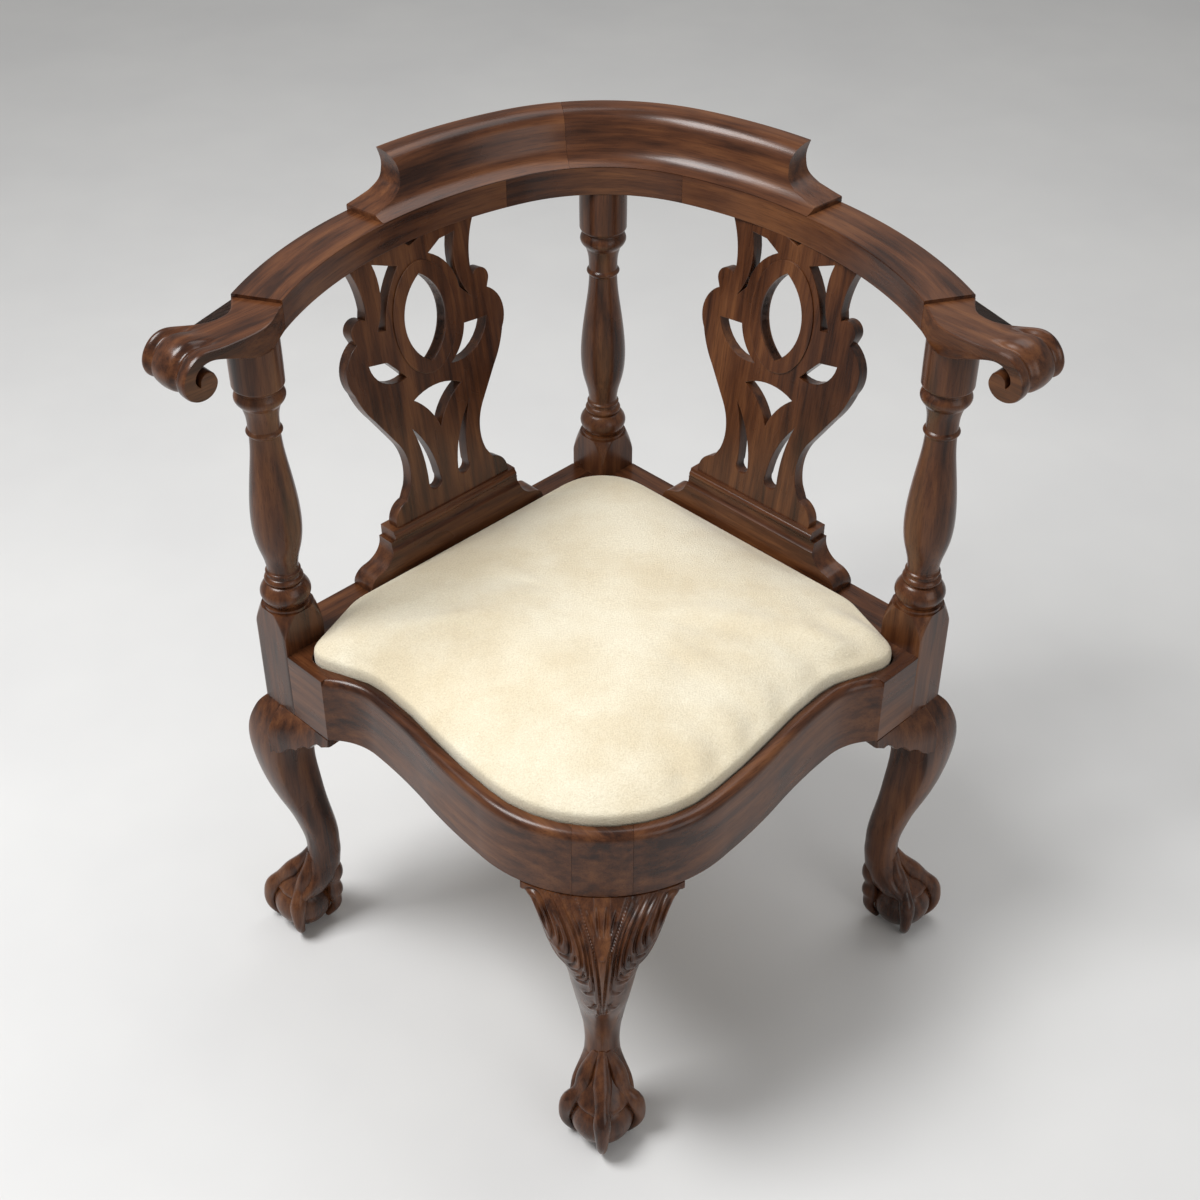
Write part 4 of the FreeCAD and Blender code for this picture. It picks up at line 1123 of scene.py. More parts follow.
    def build_leg(self, finishes: Finishes) -> None:
        """Makes the front leg.

        The front of the knee is pulled onto the knee's face, which the ears share. The carving then
        sinks it along the section's own normals, and its sides go back to meet the ears.
        """
        leg = self.front_leg()
        rows, sides = 280, 260
        rings = turned(leg.cabriole(rows, sides).reshape(-1, 3), leg.angle).reshape(rows, sides, 3)
        around = np.roll(rings, -1, axis=1) - np.roll(rings, 1, axis=1)
        normal = np.stack([-around[..., 1], around[..., 0]], axis=-1)
        normal /= np.linalg.norm(normal, axis=-1)[..., None]
        from_axis = rings[..., :2] + (0, leg.axis)
        outward = normal * np.where(np.sum(normal * from_axis, axis=-1) > 0, 1, -1)[..., None]
        height = rings[..., 2]
        ahead = -rings[..., 1] - leg.axis
        cut = ACANTHUS.cut(rings[..., 0], height) * eased((ahead - 2.0) / 8.0)
        share = eased((ahead - 12.0) / 12.0) * eased((height - 232.0) / 34.0)
        shield = -self.knee_face(rings[..., 0], height, leg)
        rings[..., 1] += share * (shield - rings[..., 1])
        rings[..., :2] -= outward * cut[..., None]
        beside_ear = eased((np.abs(rings[..., 0]) - 7.0) / 2.0) * eased((height - 267.0) / 5.0)
        rings[..., 1] += 1.2 * share * beside_ear
        shells = [loft(rings), self.stump()] + leg.placed(leg.foot())
        Piece("front_leg_carved", shells, ("front_leg",), finishes.wood, "mahogany", sharp=38.0,
              shift=71.0).build()

    def ear(self, finishes: Finishes, side: Side) -> None:
        """Makes one carved block beside the front leg: rows across it, with the knee's own face."""
        leg = self.front_leg()
        x = np.linspace(6.0, 74.0, 170)[:, None]
        lower_edge = np.array([(6.0, 62.0), (36.0, 60.5), (41.0, 57.0), (45.0, 52.0),
                               (50.0, 43.0), (56.0, 30.0),
                               (62.0, 15.5), (67.0, 8.5), (74.0, 6.0)])
        low = spline(x[:, 0], *lower_edge.T)[:, None]
        t = np.linspace(0, 1, 150)
        drop = low * t
        z = RAIL_BOTTOM - drop
        wide = np.broadcast_to(x, z.shape)
        lift = 6.0 * eased(drop / 16.0) * bell(x - 50.0, 26.0) * (0.45 + 0.55 * eased((1 - t) * 4.0))
        seam = 1.6 * (1 - eased((wide - x[0]) / 2.5))
        face = self.knee_face(wide, z, leg) + 0.25 + lift - seam - ACANTHUS.cut(wide, z)
        edge = np.linspace(0, 1, 7)[1:]
        under = face[:, -1:] - 6.0 * (1 - np.cos(edge * math.pi / 2)) - 2.0 * edge
        under_z = RAIL_BOTTOM - low - 3.5 * np.sin(edge * math.pi / 2)
        back = np.full((len(x), 2), self.front_reach - 38.0)
        y = -np.hstack([face, under, back])
        height = np.hstack([z, under_z, RAIL_BOTTOM - low, np.full_like(low, RAIL_BOTTOM)])
        name = "front_leg_%s_knee_block" % side.word
        Piece(name + "_carved", [loft(points_of(side.value * x, y, height))], (name,), finishes.wood,
              "mahogany", sharp=42.0, shift=12.0 * side.value).build()

    def build(self, finishes: Finishes) -> None:
        """Makes the rails, the front leg and its ears."""
        self.build_leg(finishes)
        for side in Side:
            self.rail(finishes, side)
            self.ear(finishes, side)


# Arm rail and crest

@dataclass
class ArmRail:
    """The C-shaped rail: a back arc that runs on into two wider side arcs, with scrolled hand-holds.

    The arcs meet at an angle from X. A joint is given by the X of its inner end, a tip of the crest
    by its angle from X, and the crest's seam by its angle from the back.
    """

    bottom: float = ARM_BOTTOM
    top: float = ARM_TOP
    width: float = 48.5
    back_centre: float = 115.0
    back_radius: float = 190.0
    meet: float = 62.0
    column_reach: float = POST_REACH
    step_back: float = 18.0
    step_drop: float = 3.5
    right_joint_x: float = 77.0
    left_joint_x: float = 94.0
    crest_rise: float = 48.5
    right_tip: float = 50.5
    left_tip: float = 46.0
    seam: float = 11.4
    joint_gap: float = 0.12

    def __post_init__(self) -> None:
        """Works out the side arc: tangent to the back arc where they meet, through the side column."""
        way = np.array([math.cos(math.radians(self.meet)), math.sin(math.radians(self.meet))])
        gap = np.array([self.column_reach, -self.back_centre])
        growth = (gap @ gap - self.back_radius ** 2) / (2 * (self.back_radius - gap @ way))
        self.side_centre = np.array([0, self.back_centre]) - way * growth
        self.side_radius = self.back_radius + growth
        self.step = math.degrees(math.asin((self.step_back - self.side_centre[1]) / self.side_radius))
        self.side_length = math.radians(self.meet - self.step) * self.side_radius
        self.back_length = math.radians(180.0 - 2 * self.meet) * self.back_radius
        self.length = 2 * self.side_length + self.back_length

    def plan(self, length: Array, across: Array) -> Array:
        """Plan points of the rail.

        Args:
            length: way along the middle from the right step round to the left one.
            across: distance out from the inner edge.

        Returns:
            The points, with the shape that both make together.
        """
        length, across = np.broadcast_arrays(np.asarray(length, float), np.asarray(across, float))
        past = length > self.length - self.side_length
        near = np.where(past, self.length - length, length)
        on_side = near < self.side_length
        side_turn = np.radians(self.step) + near / self.side_radius
        back_turn = np.radians(self.meet) + (length - self.side_length) / self.back_radius
        turn = np.where(on_side, side_turn, back_turn)
        radius = np.where(on_side, self.side_radius, self.back_radius) - self.width / 2 + across
        x = np.where(on_side, self.side_centre[0], 0.0) + radius * np.cos(turn)
        y = np.where(on_side, self.side_centre[1], self.back_centre) + radius * np.sin(turn)
        return np.stack([np.where(past, -x, x), y], axis=-1)

    def length_at(self, test: Callable[[Array, Array], Array]) -> float:
        """The length at which a rising function of the middle and inner points passes nought."""
        lengths = np.linspace(0, self.length, 4001)
        middle, inner = self.plan(lengths, self.width / 2), self.plan(lengths, 0.0)
        return float(np.interp(0.0, test(middle, inner), lengths))

    def marks(self) -> dict[str, float]:
        """Lengths of the joints, the crest's tips and its seam."""

        def angle(points: Array, centre: float = 0.0) -> Array:
            """Degrees from X, between -90 and 270, about a point on the chair's middle line."""
            return (np.degrees(np.arctan2(points[:, 1] - centre, points[:, 0])) + 90) % 360 - 90

        tests = {
            "right_joint": lambda middle, inner: self.right_joint_x - inner[:, 0],
            "left_joint": lambda middle, inner: -self.left_joint_x - inner[:, 0],
            "right_tip": lambda middle, inner: angle(middle) - self.right_tip,
            "left_tip": lambda middle, inner: angle(middle) - (180.0 - self.left_tip),
            "seam": lambda middle, inner: angle(middle, self.back_centre) - (90.0 + self.seam),
        }
        return {name: self.length_at(test) for name, test in tests.items()}

    def bar(self, start: float, end: float) -> Shell:
        """A run of the rail between two lengths: a rectangle with eased edges, carried along it."""
        along = np.linspace(start, end, max(8, int((end - start) / 4)))[:, None]
        ease = 1.3
        near = ease * 0.3
        below = np.array([(0, ease), (near, near), (ease, 0),
                          (self.width - ease, 0), (self.width - near, near), (self.width, ease)])
        section = np.concatenate([below, below[::-1] * (1, -1) + (0, self.top - self.bottom)])
        across = section[:, 0]
        height = np.broadcast_to(self.bottom + section[:, 1], (len(along), len(section)))
        return loft(np.dstack([self.plan(along, across), height]), grain=points_of(along, across, height))

    def hand_hold(self) -> Shell:
        """The right hand-hold, by a side profile carried across its width.

        A profile point at s has its place between the inner and the outer edge of the plan at s. The
        roll is sunk along the profile's normal by two flutes, which leaves a reed at each edge.
        """
        top = self.top - self.step_drop
        roll = smooth_path(np.array([
            (262.0, 760.6), (274.0, 761.4), (286.0, 762.4), (297.0, 759.0), (305.5, 751.5), (310.6, 741.5),
            (310.8, 732.0), (306.2, 724.0), (299.0, 719.8), (291.0, 718.9), (283.5, 721.2), (278.0, 727.0),
            (276.4, 734.0), (278.6, 740.0),
        ]), 110)
        eye = smooth_path(np.array([
            (278.6, 740.0), (283.0, 743.4), (289.0, 743.2), (293.6, 739.0), (294.4, 733.0),
        ]), 22)
        under = smooth_path(np.array([
            (294.4, 733.0), (297.5, 738.0), (296.0, 745.0), (290.0, 750.0), (281.0, 752.0), (272.0, 750.2),
            (262.0, 746.6), (250.0, 741.6), (240.0, 737.4), (230.0, 734.6),
        ]), 60)
        flat_top = np.c_[np.linspace(200.0, 262.0, 26)[:-1], np.full(25, top + 0.1)]
        flat_low = np.c_[np.linspace(230.0, 200.0, 12)[1:], np.full(11, self.bottom)]
        profile = np.concatenate([flat_top, roll, eye[1:], under[1:], flat_low])
        s, z = profile.T
        inner_edge = np.array([(200, 187.8, 204.4), (212, 201.0, 195.2), (224, 216.0, 184.9),
                               (240, 238.0, 179.4), (254, 254.0, 179.0), (318, 318.0, 179.0)])
        outer_edge = np.array([(200, 211.9, 246.6), (212, 222.0, 232.4), (226, 232.0, 225.2),
                               (240, 243.5, 223.6), (256, 257.0, 226.4), (272, 272.0, 234.5),
                               (290, 290.0, 240.6), (318, 318.0, 241.5)])
        inner = spline(s, inner_edge[:, 0], inner_edge[:, 1:])
        outer = spline(s, outer_edge[:, 0], outer_edge[:, 1:])
        across = np.linspace(0, 1, 61)[:, None]
        plan = inner + (outer - inner) * across[..., None]
        place = np.arange(len(profile))
        on_roll = (place >= len(flat_top)) * (place < len(flat_top) + len(roll) - 18)
        along = np.gradient(profile, axis=0)
        along /= np.linalg.norm(along, axis=1)[:, None]
        flutes = 4.2 * bell(across - 0.285, 0.075) + 4.4 * bell(across - 0.845, 0.062)
        swell = 1.2 * bell(across - 0.57, 0.15)
        rounded_ends = 0.8 * (bell(across, 0.02) + bell(across - 1, 0.02))
        cut = (flutes - swell) * eased((s - 262.0) / 20.0) * on_roll + rounded_ends
        way, side, height = plan[..., 0] + cut * along[:, 1], plan[..., 1], z - cut * along[:, 0]
        rings = points_of((way + side) / ROOT2, (side - way) / ROOT2, height)
        return loft(rings, grain=points_of(way, side, height))

    def crest(self, start: float, end: float, start_scooped: bool) -> Shell:
        """Half of the crest: its section carried along the rail, each height to its own end.

        The scooped tip is a hollow curve of height, so the length at the tip shrinks or grows with it.

        Args:
            start: length along the rail where it starts.
            end: length where it ends.
            start_scooped: whether the tip is at its start.

        Returns:
            The shell.
        """
        face = np.array([
            (0.0, 0.0), (0.4, 0.0), (6.5, 2.8), (12.6, 7.4), (16.4, 13.0), (19.2, 20.0), (21.6, 28.0),
            (24.2, 36.0), (28.0, 42.0), (34.0, 46.2), (41.0, 48.0), (self.width, self.crest_rise),
        ])
        line = np.r_[face[:1], smooth_path(face[1:], 40)]
        line[:, 1] = np.maximum.accumulate(line[:, 1])
        across, rise = np.concatenate([line, np.c_[np.full(len(line), self.width), line[::-1, 1]]]).T
        foot = np.array([(0.0, 40.0), (5.4, 40.0), (6.0, 33.0), (9.5, 13.5)])
        hollow = np.array([(9.5, 13.5), (12.5, 6.5), (17.0, 0.0), (24.0, -3.2), (31.0, -4.2), (38.0, -3.4),
                           (self.crest_rise, 0.0)])
        reach = np.where(rise > hollow[0, 0], spline(rise, *hollow.T), np.interp(rise, *foot.T))
        low = start - reach * start_scooped
        high = end + reach * (not start_scooped)
        lengths = low + (high - low) * np.linspace(0, 1, 110)[:, None]
        height = np.broadcast_to(self.top + rise, lengths.shape)
        rings = np.dstack([self.plan(lengths, across), height])
        return loft(rings, paired_ends=True, grain=points_of(lengths, across, height))

    def build(self, finishes: Finishes) -> None:
        """Makes the two arms, the block between them and both halves of the crest."""
        mark = self.marks()
        gap = self.joint_gap
        hold = self.hand_hold()
        mirror = hold.moved(lambda points: points * (-1, 1, 1))
        runs = {
            "right_arm": ([self.bar(0.0, mark["right_joint"] - gap), hold], 0.0),
            "back_arm_block": ([self.bar(mark["right_joint"] + gap, mark["left_joint"] - gap)], 333.0),
            "left_arm": ([self.bar(mark["left_joint"] + gap, self.length), mirror], 77.0),
        }
        for name, (shells, shift) in runs.items():
            Piece(name + "_shaped", shells, (name,), finishes.wood, "mahogany", sharp=36.0,
                  shift=shift).build()
        right = self.crest(mark["right_tip"], mark["seam"] - gap, True)
        left = self.crest(mark["seam"] + gap, mark["left_tip"], False)
        for name, shell, shift in (("right_crest", right, 150.0), ("left_crest", left, 480.0)):
            Piece(name + "_shaped", [shell], (name,), finishes.wood, "mahogany", sharp=36.0, bevel=0.5,
                  shift=shift).build()


# Splats

@dataclass
class Splat:
    """A pierced splat: interlaced straps cut from a board that leans back to the arm rail.

    Its front face goes from the front at the rise, hidden in the shoe, to the back at the head. The
    outlines are drawn flat, in mm from the middle and up a slope of the drawn height.
    """

    side: Side
    board: float = 13.0
    foot: float = 458.5
    head: float = ARM_BOTTOM
    tenon: float = 6.0
    front: float = 214.47
    back: float = 257.6
    rise: float = 448.3
    drawn_height: float = 289.4
    arris: float = 0.7
    loop_proud: float = 1.5

    def outline(self) -> Array:
        """The outer edge, the same on both sides."""
        right = arcs(
            (83.5, 297.0), [(71.0, 272.0), (66.0, 241.0)], [(68.0, 233.0)], [(79.5, 235.0), (86.0, 220.0)],
            [(83.0, 213.0)], [(96.5, 199.0), (95.0, 165.0)], [(88.0, 147.0), (78.0, 131.0)], [(56.0, 97.0)],
            [(47.5, 71.0), (51.0, 46.0)], [(58.0, 34.0)], [(69.5, 28.0), (75.0, 9.0)], count=14,
        )
        return np.concatenate([right, (right * (-1, 1))[::-1]])

    def eye(self) -> Array:
        """The pointed opening of the oval loop."""
        return arcs((-1, 165), [(-26, 208), (-2, 256)], [(24, 213), (-1, 165)], count=26)[:-1]

    def holes(self) -> list[Array]:
        """The piercings between the straps, the eye first."""
        chains = (
            ((-59, 214), [(-47.5, 245), (-52, 281)], [(-34, 280)], [(-18, 271)], [(-41, 250), (-49, 218)]),
            ((56, 217), [(45.5, 248), (49, 282)], [(34, 276)], [(21, 271)], [(40, 240), (47, 207)]),
            ((-76, 184), [(-58, 158), (-25, 153)], [(-42, 171), (-48, 187)], [(-76, 184)]),
            ((73, 187), [(57, 163), (32, 160)], [(42, 172), (52, 183)], [(73, 187)]),
            ((-32, 129), [(0, 139), (28, 133)], [(11, 115), (1, 94)], [(-12, 115), (-32, 129)]),
            ((-38, 105), [(-29, 75), (-26, 43)], [(-18, 32), (-12, 41)], [(-20, 75), (-38, 105)]),
            ((36, 105), [(20, 77), (12, 43)], [(19, 31), (27, 40)], [(28, 70), (36, 105)]),
            ((-18, 293), [(-4, 294), (9, 291)], [(3, 285.5)], [(-18, 293)]),
        )
        return [self.eye()] + [arcs(*chain)[:-1] for chain in chains]

    def oval(self) -> Array:
        """The outer edge of the loop that passes over the other straps."""
        turn = full_turn(72)
        return np.c_[-1 + 38.5 * np.cos(turn), 211 + 58.0 * np.sin(turn)]

    def plate(self, loops: list[Array]) -> tuple[Array, list]:
        """A flat board inside closed loops, with eased arrises.

        Args:
            loops: the outer edge and the holes in it.

        Returns:
            The board's points, lying flat, and its faces.
        """
        curve = bpy.data.curves.new("plate", "CURVE")
        curve.dimensions = "2D"
        curve.fill_mode = "BOTH"
        curve.extrude = self.board / 2 - self.arris
        curve.bevel_depth = self.arris
        curve.bevel_resolution = 1
        curve.offset = -self.arris
        for loop in loops:
            line = curve.splines.new("POLY")
            line.points.add(len(loop) - 1)
            line.points.foreach_set("co", np.c_[loop, np.zeros(len(loop)), np.ones(len(loop))].ravel())
            line.use_cyclic_u = True
        scratch = bpy.data.objects.new("plate_line", curve)
        bpy.context.scene.collection.objects.link(scratch)
        mesh = bpy.data.meshes.new_from_object(scratch.evaluated_get(bpy.context.evaluated_depsgraph_get()))
        bpy.data.objects.remove(scratch)
        flat = read_points(mesh)
        faces = [list(face.vertices) for face in mesh.polygons]
        bpy.data.meshes.remove(mesh)
        return flat, faces

    def placed(self, flat: Array, proud: float) -> Array:
        """Stands a board's points up: u along the rail, v up the slope, w back from the front face."""
        run, climb = self.back - self.front, self.head - self.rise
        slope = math.hypot(run, climb)
        v = flat[:, 1] * slope / self.drawn_height
        w = self.board / 2 - proud - flat[:, 2]
        d = self.front + v * run / slope + w * climb / slope
        z = np.clip(self.rise + v * climb / slope - w * run / slope,
                    self.foot - self.tenon, self.head + self.tenon)
        return np.c_[self.side.value * (d + flat[:, 0]) / ROOT2, (d - flat[:, 0]) / ROOT2, z]

    def build(self, finishes: Finishes) -> None:
        """Makes the board and lays the oval loop proud of its front."""
        name = self.side.word + "_splat"
        shells = []
        layers = (([self.outline()] + self.holes(), 0.0), ([self.oval(), self.eye()], self.loop_proud))
        for loops, proud in layers:
            flat, faces = self.plate(loops)
            shells.append(Shell(self.placed(flat, proud), faces, flat[:, [1, 0, 2]] + 2 * proud))
        Piece(name + "_pierced", shells, (name,), finishes.wood, "mahogany", sharp=30.0,
              shift=210.0 if self.side is Side.RIGHT else 640.0).build()


# Drop-in seat

@dataclass
class DropInSeat:
    """The loose seat: a crowned cushion in pile cloth over hessian and webbing."""

    floor: float = 386.8
    slip_bottom: float = 388.3
    slip_top: float = 408.3
    pad_bottom: float = 410.8
    crown: float = 31.5
    cloth_reach: float = 0.93
    strap_width: float = 50.0
    strap_pitch: float = 92.0
    strap_reach: float = 186.6
    sides: int = 300

    def angles(self) -> Array:
        """The angles in radians at which rings have their points."""
        return np.radians(np.linspace(-180, 180, self.sides, endpoint=False))

    def rim(self) -> Array:
        """Reach of the cover's rim at each angle, its corners softened a little."""
        turn = self.angles()
        way = np.stack([np.cos(turn), np.sin(turn)], axis=-1)
        line = ray_reach(np.zeros_like(way), way, seat_outline())
        kernel = bell(np.arange(-2, 3), 1.0)
        return np.convolve(np.r_[line[-2:], line, line[:2]], kernel / kernel.sum(), "valid")

    def ring(self, scale: Array, z: Array, inset: Array) -> Array:
        """Rings of the rim drawn in by a scale and an inset, at heights."""
        turn = self.angles()
        reach = self.rim() * scale[:, None] - inset[:, None]
        return points_of(reach * np.cos(turn), reach * np.sin(turn), z[:, None])

    def cushion_rings(self) -> Array:
        """Underside, hem, sides and crown; with a falling angle f, scale = cos(f)^0.5 and z = sin(f)^0.9."""
        f = np.linspace(0, math.pi / 2 - 0.012, 64)
        shoulder = self.slip_top - 2.0
        dome = shoulder + (self.slip_top + self.crown - shoulder) * np.sin(f) ** 0.9
        below = np.array([
            (0.05, self.pad_bottom, 0.0), (0.5, self.pad_bottom, 0.0), (0.955, self.pad_bottom, 0.0),
            (0.955, self.slip_top, 0.0), (0.955, self.slip_bottom + 0.2, 0.0), (0.975, self.floor, 0.0),
            (1.0, self.floor, 2.0), (1.0, self.floor + 1.5, 0.3), (1.0, self.slip_top - 6.0, 0.0),
        ])
        return self.ring(*np.concatenate([below, np.c_[np.sqrt(np.cos(f)), dome, np.zeros(len(f))]]).T)

    def creases(self, points: Array) -> Array:
        """Height to add: soft folds at the right corner, a wave along the right front, and hollows.

        Each is a sine of the place, bent by a slower sine, and faded by a bell about its own spot.
        """
        x, y = points[:, 0], points[:, 1]
        right = bell(np.hypot(x - 238, y + 32), 58)
        fold = np.sin((x * 0.62 + y * 0.78) / 7.5 + 1.4 * np.sin((x - y) / 31.0))
        front = bell((x - y - 330) / 1.4, 62) * eased((x - 20) / 60)
        wave = np.sin((x + y) / 11.0 + 1.2 * np.sin((x - y) / 24.0))
        slack = np.sin(x / 61.0 + 1.3) * np.sin(y / 73.0 - 0.4)
        return 2.6 * right * fold + 1.9 * front * wave + 1.4 * slack

    def settle(self, piece: bpy.types.Object, held: Array, weight: Array, cap: float) -> None:
        """Lets the cover swell under a little pressure, its rim held, and keeps the result.

        Args:
            piece: the cushion, whose points lie in rings.
            held: whether a point is pinned.
            weight: share of its move that each point keeps.
            cap: the furthest that a point may move, in mm.
        """
        group = piece.vertex_groups.new(name="rim")
        group.add(np.flatnonzero(held).tolist(), 1.0, "REPLACE")
        cloth = piece.modifiers.new("stuffing", "CLOTH")
        settings = cloth.settings
        settings.quality = 4
        settings.mass = 0.4
        settings.tension_stiffness = 12
        settings.bending_stiffness = 2.5
        settings.use_pressure = True
        settings.uniform_pressure_force = 3.0
        settings.effector_weights.gravity = 0.0
        settings.vertex_group_mass = "rim"
        cloth.collision_settings.use_collision = False
        before = read_points(piece.data)
        scene = bpy.context.scene
        last_step = 14
        for step in range(1, last_step + 1):
            scene.frame_set(step)
        graph = bpy.context.evaluated_depsgraph_get()
        swollen = bpy.data.meshes.new_from_object(piece.evaluated_get(graph))
        move = read_points(swollen) - before
        bpy.data.meshes.remove(swollen)
        piece.modifiers.clear()
        piece.vertex_groups.clear()
        scene.frame_set(1)
        size = np.linalg.norm(move, axis=1)
        move *= np.minimum(1.0, cap * MM / np.maximum(size, 1e-9))[:, None]
        grid = move.reshape(-1, self.sides, 3)
        smoothings = 8
        for _ in range(smoothings):
            grid = (grid + np.roll(grid, 1, axis=1) + np.roll(grid, -1, axis=1)) / 3
            grid[1:-1] = (grid[:-2] + grid[1:-1] + grid[2:]) / 3
        move = grid.reshape(-1, 3) * weight[:, None]
        piece.data.vertices.foreach_set("co", (before + move).ravel())
        piece.data.update()

    def build_cushion(self, finishes: Finishes) -> None:
        """Makes the cushion in place of the cover and its stuffing."""
        shell = loft(self.cushion_rings())
        crown_share = eased((shell.points[:, 2] - self.slip_top - 3.0) / 10.0)
        shell.points[:, 2] += (self.creases(shell.points) - 1.0) * crown_share
        piece = make_mesh("seat_cushion", shell.points, shell.faces, shell.grain, 60.0)
        x, y, z = shell.points.T
        keep = eased((z - self.slip_top) / 14.0) * eased(np.hypot(x, y) / 120.0)
        self.settle(piece, held=z < self.slip_top + 1.0, weight=keep, cap=4.0)
        finish_piece(piece, finishes.pile, "seat_cover", SEAT_BODY, ("seat_cover", "seat_padding"))

    def build_cloth(self, finishes: Finishes) -> None:
        """Makes the base cloth: the rim's shape drawn in, sagging slightly between the straps."""
        rows = 40
        scale = np.linspace(0.03, self.cloth_reach, rows)
        low = self.ring(scale, np.full(rows, self.slip_top + 1.6), np.zeros(rows))
        high = self.ring(scale[::-1], np.full(rows, self.slip_top + 2.4), np.zeros(rows))
        rings = np.concatenate([low, high])
        u, d = (rings[..., 0] - rings[..., 1]) / ROOT2, (rings[..., 0] + rings[..., 1]) / ROOT2
        quilt = np.cos(2 * math.pi * u / self.strap_pitch) * np.cos(2 * math.pi * d / self.strap_pitch)
        sag = 0.35
        rings[..., 2] -= sag * (1 - quilt) / 2
        shell = loft(rings)
        piece = make_mesh("base_cloth_sheet", shell.points, shell.faces, shell.grain, 50.0)
        finish_piece(piece, finishes.hessian, "base_cloth", SEAT_BODY, ("seat_base_cloth",))

    def build_webbing(self, finishes: Finishes) -> None:
        """Makes the straps, woven over and under: each strap's height is a cosine of its length."""
        shells = []
        along = np.linspace(-self.strap_reach, self.strap_reach, 120)
        half = self.strap_width / 2
        thick = np.array([-0.3, -0.3, 0.3, 0.3])
        for turn, crossing in ((45, 0), (135, 1)):
            for index in (-1, 0, 1):
                wave = 0.45 * np.cos(math.pi * along / self.strap_pitch) * (-1) ** (index + crossing)
                middle = self.slip_top + 0.78 + wave * bell(along, 150.0)
                across = np.array([-half, half, half, -half]) + index * self.strap_pitch
                strap = loft(points_of(along[:, None], across, middle[:, None] + thick))
                shells.append(Shell(turned(strap.points, turn), strap.faces, strap.grain))
        Piece("webbing_straps", shells, ("seat_webbing",), finishes.jute, "webbing", body=SEAT_BODY).build()

    def build(self, finishes: Finishes) -> None:
        """Makes the soft pieces of the seat."""
        self.build_webbing(finishes)
        self.build_cloth(finishes)
        self.build_cushion(finishes)


# Screws

@dataclass
class Screws:
    """Slotted heads: a low dome cut by a slot, as two half moons over a disc."""

    head: float = 4.2
    slot: float = 0.9
    block_offset: float = 17.0
    crest_line: float = 33.0
    crest_count: int = 8
    tip_distance: float = 12.0
    column_clear: float = 32.0

    def shells(self) -> list[Shell]:
        """One head at the origin, facing +X."""
        turn = full_turn(28)
        depths = np.array([[-3.0], [0.15]])
        result = [loft(points_of(depths, self.head * np.cos(turn), self.head * np.sin(turn)))]
        half = np.linspace(0.22, math.pi - 0.22, 16)
        rise, scale = np.array([(0.0, 1.0), (0.55, 0.97), (0.95, 0.8)]).T[..., None]
        for sign in (1, -1):
            z = sign * np.maximum(self.head * scale * np.sin(half), self.slot / 2)
            result.append(loft(points_of(rise, self.head * scale * np.cos(half), z)))
        return result

    def placed(self, spot: Array, turn: float, down: bool = False) -> list[Shell]:
        """A head at a spot, facing a plan direction in degrees, or down."""
        def how(points: Array) -> Array:
            if down:
                points = points[:, [2, 1, 0]] * (1, 1, -1)
            return turned(points, turn) + spot
        return [shell.moved(how) for shell in self.shells()]

    def build(self, finishes: Finishes) -> None:
        """Makes the corner blocks' screws, two to a block, and those of the crest under the arm rail."""
        heads = []
        for corner, turn in {"left": 0, "right": 180, "back": -90, "front": 90}.items():
            low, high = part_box(corner + "_corner_block")
            middle = (low + high) / 2 / MM
            reach = {"left": high.x, "right": -low.x, "back": SEAT_Y - low.y, "front": high.y - SEAT_Y}
            for offset in (-self.block_offset, self.block_offset):
                spot = np.array([[reach[corner] / MM, offset, middle.z]])
                heads += self.placed(turned(spot, turn)[0], turn)
        Piece("corner_block_screws", heads, (), finishes.steel, "secondary_wood").build()
        rail = ArmRail()
        mark = rail.marks()
        start, end = mark["right_tip"] + self.tip_distance, mark["left_tip"] - self.tip_distance
        heads = []
        for x, y in rail.plan(np.linspace(start, end, self.crest_count), self.crest_line):
            if math.hypot(x, y - POST_REACH) > self.column_clear:
                heads += self.placed(np.array([x, y, rail.bottom - 0.05]), 0.0, down=True)
        Piece("crest_screws", heads, (), finishes.steel, "mahogany").build()


# Nodes that keep their own shape

def dress_nodes(finishes: Finishes) -> None:
    """Gives the kept nodes their finishes; their grain follows the rail that they lie along."""
    groups = (
        (finishes.rising, ("back_left_rail", "left_shoe")),
        (finishes.falling, ("back_right_rail", "right_shoe")),
        (finishes.beech_rising, ("back_left_slip_rail", "front_right_slip_rail")),
        (finishes.beech_falling, ("back_right_slip_rail", "front_left_slip_rail")),
        (finishes.beech_rising, ("left_corner_block", "right_corner_block", "back_corner_block",
                                 "front_corner_block")),
    )
    for material, names in groups:
        for name in names:
            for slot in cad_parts[name].material_slots:
                slot.link = "OBJECT"
                slot.material = material
            log.info("%s keeps its shape", name)


# Floor, lamps and camera

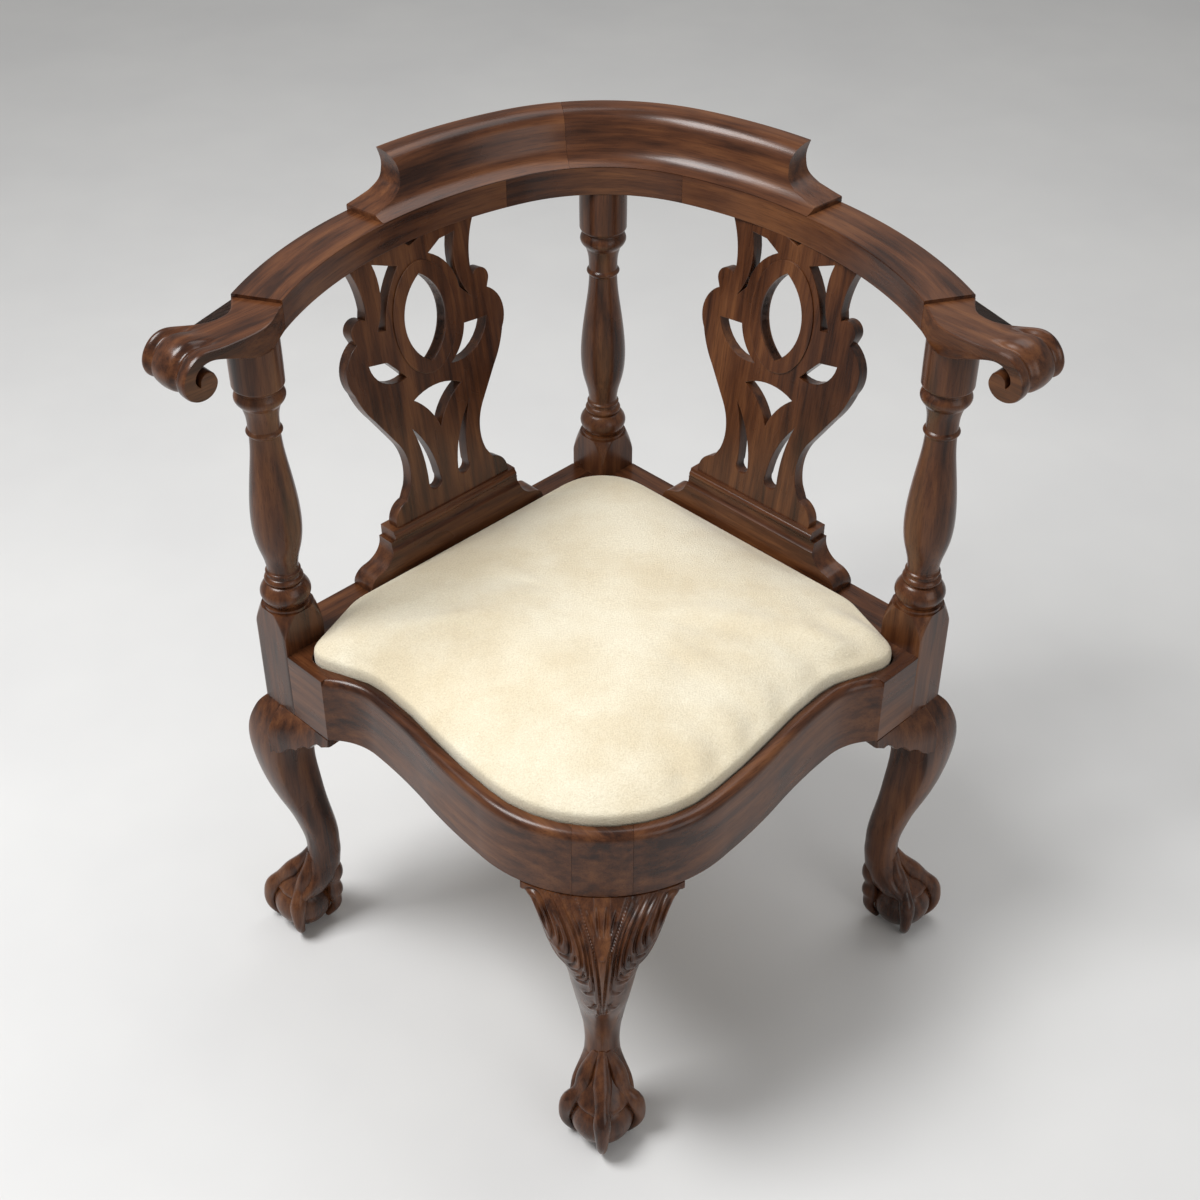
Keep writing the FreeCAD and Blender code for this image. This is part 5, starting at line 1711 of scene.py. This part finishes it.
@dataclass
class Studio:
    """A plain pale floor, soft lamps and a camera where the photograph was taken from.

    The camera's place is in metres from the seat's centre, its pitch in degrees and its small roll
    in radians. A lamp is its name, place, aim, size in metres and power in watts.
    """

    camera_place: tuple = (0.0, -1.38829, 1.52831)
    camera_pitch: float = 52.04
    camera_roll: float = 0.0019
    lens: float = 54.68
    sensor: float = 36.0
    world_colour: tuple = (1.0, 0.99, 0.97, 1.0)
    world_strength: float = 0.36
    lamps: tuple = (
        ("key", (-1.25, -0.35, 2.5), (0, 0, 0.45), 1.0, 58),
        ("back", (0.7, 0.9, 2.6), (0, 0, 0.6), 1.4, 14),
        ("fill", (1.9, -1.9, 1.4), (0, 0, 0.4), 1.6, 12),
    )

    def floor(self) -> None:
        """A wide pale plane with faint clouds."""
        mesh = bpy.data.meshes.new("floor")
        mesh.from_pydata([(-4, -4, 0), (4, -4, 0), (4, 5, 0), (-4, 5, 0)], [], [(0, 1, 2, 3)])
        floor = bpy.data.objects.new("floor", mesh)
        bpy.context.scene.collection.objects.link(floor)
        material, tree = empty_material("pale_floor")
        place = add(tree, "ShaderNodeTexCoord").outputs["Object"]
        cloud = noise(tree, place, (3.0,) * 3, 3.0)
        colour = ramp(tree, cloud, ((0.3, (0.70, 0.70, 0.70)), (0.7, (0.74, 0.74, 0.735))))
        surface(tree, {"Base Color": colour, "Roughness": 0.75}, cloud, 0.0001)
        floor.data.materials.append(material)

    def lamp(self, name: str, place: tuple, aim: tuple, size: float, watts: float) -> None:
        """A square soft lamp at a place, turned to its aim."""
        light = bpy.data.lights.new(name, "AREA")
        light.size = size
        light.energy = watts
        lamp = bpy.data.objects.new(name, light)
        bpy.context.scene.collection.objects.link(lamp)
        way = Vector([end - start for start, end in zip(place, aim)])
        turn = way.to_track_quat("-Z", "Y").to_matrix().to_4x4()
        lamp.matrix_world = Matrix.Translation(place) @ turn

    def camera(self) -> None:
        """The camera, as the scene's own."""
        lens = bpy.data.cameras.new("camera")
        lens.lens = self.lens
        lens.sensor_width = self.sensor
        camera = bpy.data.objects.new("camera", lens)
        bpy.context.scene.collection.objects.link(camera)
        x, y, z = self.camera_place
        camera.location = (x, y + SEAT_Y, z)
        camera.rotation_euler = (math.radians(self.camera_pitch), 0.0, self.camera_roll)
        bpy.context.scene.camera = camera

    def build(self) -> None:
        """Makes the floor, the lamps, the world and the camera."""
        self.floor()
        for lamp in self.lamps:
            self.lamp(*lamp)
        world = bpy.data.worlds.new("studio")
        world.use_nodes = True
        background = world.node_tree.nodes["Background"]
        background.inputs["Color"].default_value = self.world_colour
        background.inputs["Strength"].default_value = self.world_strength
        bpy.context.scene.world = world
        bpy.context.scene.view_settings.view_transform = "Standard"
        self.camera()


def main() -> None:
    """Builds the chair's pieces in order, then the studio."""
    logging.basicConfig(level=logging.INFO, format="%(message)s")
    finishes = Finishes()
    for name, angle in (("right_leg", 0.0), ("back_leg", 90.0), ("left_leg", 180.0)):
        CornerLeg(name, angle).build(finishes)
    for place in KneePlace:
        SideKneeBlock(place).build(finishes)
    FrontCorner().build(finishes)
    ArmRail().build(finishes)
    for side in Side:
        Splat(side).build(finishes)
    DropInSeat().build(finishes)
    Screws().build(finishes)
    dress_nodes(finishes)
    Studio().build()


if __name__ == "__main__":
    main()
